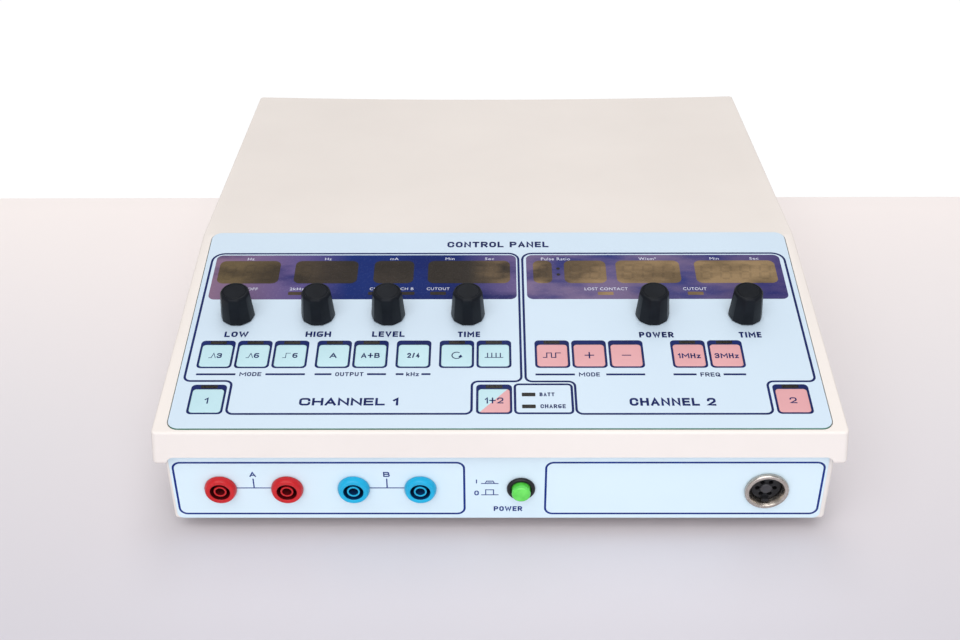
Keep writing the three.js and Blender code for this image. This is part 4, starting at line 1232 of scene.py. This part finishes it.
FRONT_LINE = 1.0
SOCKET_GAP = 7.2         # from a socket's axis to the end of the line between two sockets
front = []
for x0, x1 in ((-148.4, -16.0), (21.3, 147.4)):
    front.append(sheet(loop_line(round_rect(x0, x1, FIELD_LOW, FIELD_HIGH, 3.5), FRONT_LINE), *PRINT))
for letter in "AB":
    pair = "socket_" + letter.lower()
    x0, x1 = SOCKET_X[pair + "_left"] + SOCKET_GAP, SOCKET_X[pair + "_right"] - SOCKET_GAP
    centre = (x0 + x1) / 2
    front.append(sheet([bar_line(x0, PRINT_ROW + 0.9, x1, PRINT_ROW + 0.9, 0.55)], *PRINT))
    front.append(sheet([bar_line(centre, PRINT_ROW + 0.9, centre, PRINT_ROW + 6.6, 0.6)], *PRINT))
    front.append(lettering(letter, centre, PRINT_ROW + 9.2, 3.0, 3.0, *PRINT, 0.62))
sign = [bar_line(-8.3, 3.6, -0.3, 3.6, 0.45)]
sign += polyline([(-6.4, 3.7), (-5.7, 5.1), (-2.9, 5.1), (-2.2, 3.7)], 0.45)
sign += [bar_line(-5.4, 4.4, -3.1, 4.4, 0.35)]
sign += [bar_line(-8.3, -3.4, -0.3, -3.4, 0.45)]
sign += polyline([(-6.2, -3.4), (-6.2, -0.3), (-2.6, -0.3), (-2.6, -3.4)], 0.45)
sign += [bar_line(-10.4, 3.7, -10.4, 6.0, 0.5)]
for stroke in sign:
    front.append(prism([(x, y + PRINT_ROW) for x, y in stroke], *PRINT))
ring = round_rect(-11.15, -9.65, PRINT_ROW - 3.4, PRINT_ROW - 1.1, 0.72, 6)
front.append(sheet(loop_line(ring, 0.6), *PRINT))
front.append(lettering("POWER", 4.1, PRINT_ROW - 12.1, 13.2, 3.0, *PRINT, 0.68))
piece("front_print_navy", merged(front), PANEL, "front_navy", CASE)

# ---------------------------------------------------------------- sockets, button and round connector

for node in SOCKET_NODES:
    colour = "red" if "_a_" in node else "blue"
    shape = turned([
        (0, -18), (6.1, -18), (6.1, 1.0), (7.25, 1.0), (7.4, 1.15), (7.4, 1.9), (7.32, 2.3), (7.05, 3.05),
        (6.7, 3.75), (6.45, 4.02), (6.15, 4.1), (5.0, 4.1), (4.75, 4.0), (4.6, 3.75), (4.6, -14),
        (3.0, -14), (3.0, 3.15), (2.9, 3.42), (2.7, 3.5), (2.4, 3.5), (2.22, 3.42), (2.15, 3.2),
        (2.15, -15), (0, -15),
    ], 96)
    # Faces inside the bore take the darker colour, as painted shade of the deep bore.
    painted(shape, lambda centre: math.hypot(centre.x, centre.y) < 4.62 and -17 < centre.z < 3)
    colours = [colour, "deep_" + colour]
    piece(node + "_shell", moved(shape, SOCKET_X[node]), PANEL, colours, CASE, 30, [node])
    sleeve = turned([
        (2.1, -14.9), (2.1, -1.2), (2.0, -1.0), (1.75, -1.0), (1.7, -1.2), (1.7, -14.9), (2.1, -14.9),
    ], 48)
    piece(node + "_contact", moved(sleeve, SOCKET_X[node]), PANEL, "nickel", CASE, 35)

bezel = turned([
    (4.65, -10), (5.5, -10), (5.5, 1.0), (6.35, 1.0), (6.5, 1.15), (6.5, 1.7), (6.4, 2.0), (6.1, 2.3),
    (5.8, 2.4), (5.1, 2.4), (4.8, 2.25), (4.65, 1.9), (4.65, -10),
], 96)
piece("power_bezel_ring", moved(bezel, BUTTON_X), PANEL, "black", CASE, 30, ["power_bezel"])
cap = turned([
    (0, -9), (4.3, -9), (4.3, 4.8), (4.26, 5.1), (4.1, 5.45), (3.75, 5.7), (3.2, 5.86),
    (2.4, 5.96), (1.2, 6.0), (0, 6.0),
], 96)
cap = moved(cap, BUTTON_X)
piece("power_button_cap", cap, PANEL, "green", "power_button", 40, ["power_button"])

shell = turned([
    (7.1, -12), (7.9, -12), (7.9, 1.0), (9.9, 1.0), (10.1, 1.2), (10.1, 2.2), (9.95, 2.6), (9.6, 2.9),
    (9.2, 3.0), (8.6, 3.0), (8.25, 2.9), (8.0, 2.6), (7.35, 0.3), (7.15, -0.4), (7.1, -1.2), (7.1, -12),
], 128)
shell = moved(shell, DIN_AT.x, DIN_AT.y)
piece("round_connector_shell", shell, PANEL, "nickel", CASE, 30, ["din_shell"])


def connector_insert():
    """The contact block of the round connector: six contact holes, a key and a pale middle."""
    radius, face = 6.9, -0.4
    body = turned([
        (0, -15), (radius, -15), (radius, face - 0.3), (radius - 0.3, face),
        (2.7, face), (2.65, face + 0.6), (2.4, face + 0.8), (0, face + 0.8),
    ], 96)
    contacts, reach = 6, 3.95
    cuts = []
    for i in range(contacts):
        angle = (i + 0.5) / contacts * math.tau + math.pi / 2
        hole = circle(reach * math.cos(angle), reach * math.sin(angle), 1.1, 24)
        cuts.append(prism(hole, face - 6, face + 1))
    body = boolean(body, "DIFFERENCE", merged(cuts))
    key = prism(round_rect(-1.7, 1.7, -radius, -5.0, 0.4, 3), face - 1, 1.7, 2, 0.3)
    body = boolean(body, "UNION", key)
    return painted(body, lambda centre: math.hypot(centre.x, centre.y) < 2.8 and centre.z > face + 0.1)


insert = moved(connector_insert(), DIN_AT.x, DIN_AT.y)
piece("round_connector_insert", insert, PANEL, ["black", "grey"], CASE, 30, ["din_insert"])

# ---------------------------------------------------------------- rear inlet

ix = INLET_AT.x
INLET_SCREWS = (-20, 20)


def make_inlet():
    """The inlet's flange and core, with the mouth, the fuse bay and the screw sinks cut into it."""
    flange = prism(round_rect(ix - 25, ix + 25, -15.5, 15.5, 3), 0.3, INLET_FACE, 3, 0.6)
    core = prism(round_rect(ix - 13.8, ix + 13.8, -14.8, 14.8, 1), -23, INLET_FACE - 1)
    body = boolean(flange, "UNION", core)
    mouth = filleted([
        (ix - 12.2, -3.6, 2.5), (ix + 12.2, -3.6, 2.5), (ix + 12.2, 8.4, 1.2),
        (ix + 8.0, 12.8, 1.2), (ix - 8.0, 12.8, 1.2), (ix - 12.2, 8.4, 1.2),
    ], 5)
    bay = round_rect(ix - 11, ix + 11, -13.3, -5.9, 0.3, 2)
    cuts = [prism(mouth, INLET_FACE - 16, INLET_FACE + 1), prism(bay, INLET_FACE - 19.3, INLET_FACE + 1)]
    for side in INLET_SCREWS:
        sink = turned([(0, -1), (1.7, -1), (1.7, 1.2), (3.4, 2.9), (3.4, 4), (0, 4)], 32)
        cuts.append(moved(sink, ix + side))
    return boolean(body, "DIFFERENCE", merged(cuts))


piece("mains_inlet_body", make_inlet(), REAR, "black", CASE, 30, ["mains_inlet"])
blades = []
for dx, dy in ((-7, -2), (0, 2), (7, -2)):
    blade = round_rect(ix + dx - 1, ix + dx + 1, 4.6 + dy - 2, 4.6 + dy + 2, 0.4, 3)
    blades.append(prism(blade, INLET_FACE - 16.2, INLET_FACE - 5.5, 2, 0.35))
piece("mains_inlet_pins", merged(blades), REAR, "nickel", CASE, 30)
screws = []
for side in INLET_SCREWS:
    head = turned([(0, -2), (1.5, -2), (1.5, 1.3), (3.0, 2.75), (2.6, 2.9), (0, 3.0)], 32)
    for x, y in ((1.7, 0), (0, 1.7)):
        head = boolean(head, "DIFFERENCE", prism(bar_line(-x, -y, x, y, 0.6), 2.3, 3.4))
    screws.append(moved(head, ix + side))
piece("mains_inlet_screws", merged(screws), REAR, "steel", CASE, 30)
outline = round_rect(ix - 10.7, ix + 10.7, -13.0, -6.2, 0.5, 3)
carrier = prism(outline, INLET_FACE - 19, INLET_FACE + 0.4, 2, 0.25)
grip = prism(round_rect(ix - 4, ix + 4, -10.4, -8.8, 0.5, 4), INLET_FACE - 1, INLET_FACE + 1.2, 2, 0.3)
drawer = boolean(carrier, "UNION", grip)
piece("fuse_drawer_front", drawer, REAR, "black", "fuse_drawer", 30, ["fuse_drawer"])

# ---------------------------------------------------------------- pieces kept from the frame

KEPT = {
    "switch_membrane": "membrane", "display_board": "board", "main_board": "board",
    "ultrasound_board": "board", "heat_sink": "aluminium", "ribbon_cable": "ribbon",
    "mains_transformer": "winding", "battery": "battery", "battery_bracket": "steel",
    "power_switch": "black",
}
for node in NODES:
    if node.startswith("case_screw") or node.endswith("_shaft"):
        KEPT[node] = "steel"
for node, key in KEPT.items():
    NODES[node].data.materials.clear()
    NODES[node].data.materials.append(M[key])

# ---------------------------------------------------------------- floor, light and camera

TABLE_HALF = 2.2
TABLE_DEPTH = 2.4
TABLE_EDGE_Y = CAD_BOX[1].y + 0.044
SKY_STRENGTH = 0.5
WALL_STRENGTH = 1.02
CAMERA_PLACE = (-0.0043, -0.6949, 0.4049)
CAMERA_PITCH, CAMERA_YAW, CAMERA_ROLL = (math.radians(angle) for angle in (28.85, -0.45, 0.28))
CAMERA_LENS = 52.5
SENSOR_WIDTH = 36.0


def make_table():
    """A pale table, painted darker and cooler towards the front and paler and warmer towards the far edge as
    painted shade and light, and whose far edge lies just behind the case.
    """
    bm = bmesh.new()
    near_y = TABLE_EDGE_Y - TABLE_DEPTH
    corners = [
        (-TABLE_HALF, near_y), (TABLE_HALF, near_y), (TABLE_HALF, TABLE_EDGE_Y), (-TABLE_HALF, TABLE_EDGE_Y),
    ]
    bm.faces.new([bm.verts.new((x, y, 0)) for x, y in corners])
    mesh = mesh_from(bm)
    table = bpy.data.objects.new("table", mesh)
    SCENE.collection.objects.link(table)
    shader = Shader("table_surface")
    depth = shader.spread(shader.along("Y"), 0.0, 1.0, -0.34, 0.2)
    # Painted shade and light: the tint runs from darker lilac at the front to pale warm at the far edge; the
    # paler copy shows in random patches.
    plain = shader.ramp(depth, [(0.0, (191, 188, 197)), (0.5, (219, 215, 218)), (1.0, (247, 238, 236))])
    paler_painted_falloff = shader.ramp(depth, [(0.0, (194, 191, 200)), (0.5, (224, 218, 221)), (1.0, (250, 241, 238))])
    patches = shader.spread(shader.noise(1.4, 2.0), 0.0, 1.0)
    shader.surface(shader.mix(patches, plain, paler_painted_falloff), shader.noise(60.0), (0.42, 0.5))
    set_inputs(shader.main, Specular_IOR_Level=0.35)
    mesh.materials.append(shader.material)


def area_light(name, place, target, size, power, colour=(1, 1, 1)):
    data = bpy.data.lights.new(name, "AREA")
    data.shape = "RECTANGLE"
    data.size, data.size_y = size
    data.energy = power
    data.color = colour
    made = bpy.data.objects.new(name, data)
    SCENE.collection.objects.link(made)
    made.location = place
    made.rotation_mode = "QUATERNION"
    made.rotation_quaternion = (Vector(target) - Vector(place)).to_track_quat("-Z", "Y")


def make_world():
    """A soft sky over the table, and a white wall below its far edge."""
    world = bpy.data.worlds.new("studio")
    SCENE.world = world
    world.use_nodes = True
    tree = world.node_tree
    direction = tree.nodes.new("ShaderNodeTexCoord")
    split = tree.nodes.new("ShaderNodeSeparateXYZ")
    span = tree.nodes.new("ShaderNodeMapRange")
    set_inputs(span, From_Min=-0.12, From_Max=0.0, To_Min=WALL_STRENGTH, To_Max=SKY_STRENGTH)
    background = tree.nodes["Background"]
    set_inputs(background, Color=(1, 1, 1, 1))
    tree.links.new(direction.outputs["Generated"], split.inputs["Vector"])
    tree.links.new(split.outputs["Z"], span.inputs["Value"])
    tree.links.new(span.outputs["Result"], background.inputs["Strength"])


def make_camera():
    data = bpy.data.cameras.new("camera")
    data.sensor_width = SENSOR_WIDTH
    data.lens = CAMERA_LENS
    data.clip_start = 0.01
    made = bpy.data.objects.new("camera", data)
    SCENE.collection.objects.link(made)
    pitch, yaw, roll = CAMERA_PITCH, CAMERA_YAW, CAMERA_ROLL
    forward = Vector((math.sin(yaw) * math.cos(pitch), math.cos(yaw) * math.cos(pitch), -math.sin(pitch)))
    right = Vector((math.cos(yaw), -math.sin(yaw), 0))
    down = forward.cross(right)
    image_right = right * math.cos(roll) + down * math.sin(roll)
    image_down = down * math.cos(roll) - right * math.sin(roll)
    turn = Matrix((image_right, -image_down, -forward)).transposed()
    made.matrix_world = Matrix.Translation(CAMERA_PLACE) @ turn.to_4x4()
    SCENE.camera = made


make_table()
make_world()
area_light("front_softbox", (-0.3, -1.9, 1.85), (0, -0.05, 0), (2.8, 2.0), 43)
area_light("low_fill", (0.1, -1.6, 0.3), (0, -0.1, 0.03), (1.8, 0.56), 6.2, (0.93, 0.99, 1.12))
area_light("top_softbox", (0.1, 0.08, 1.5), (0, 0.05, 0), (1.6, 0.5), 6.4)
make_camera()
SCENE.view_settings.view_transform = "Standard"
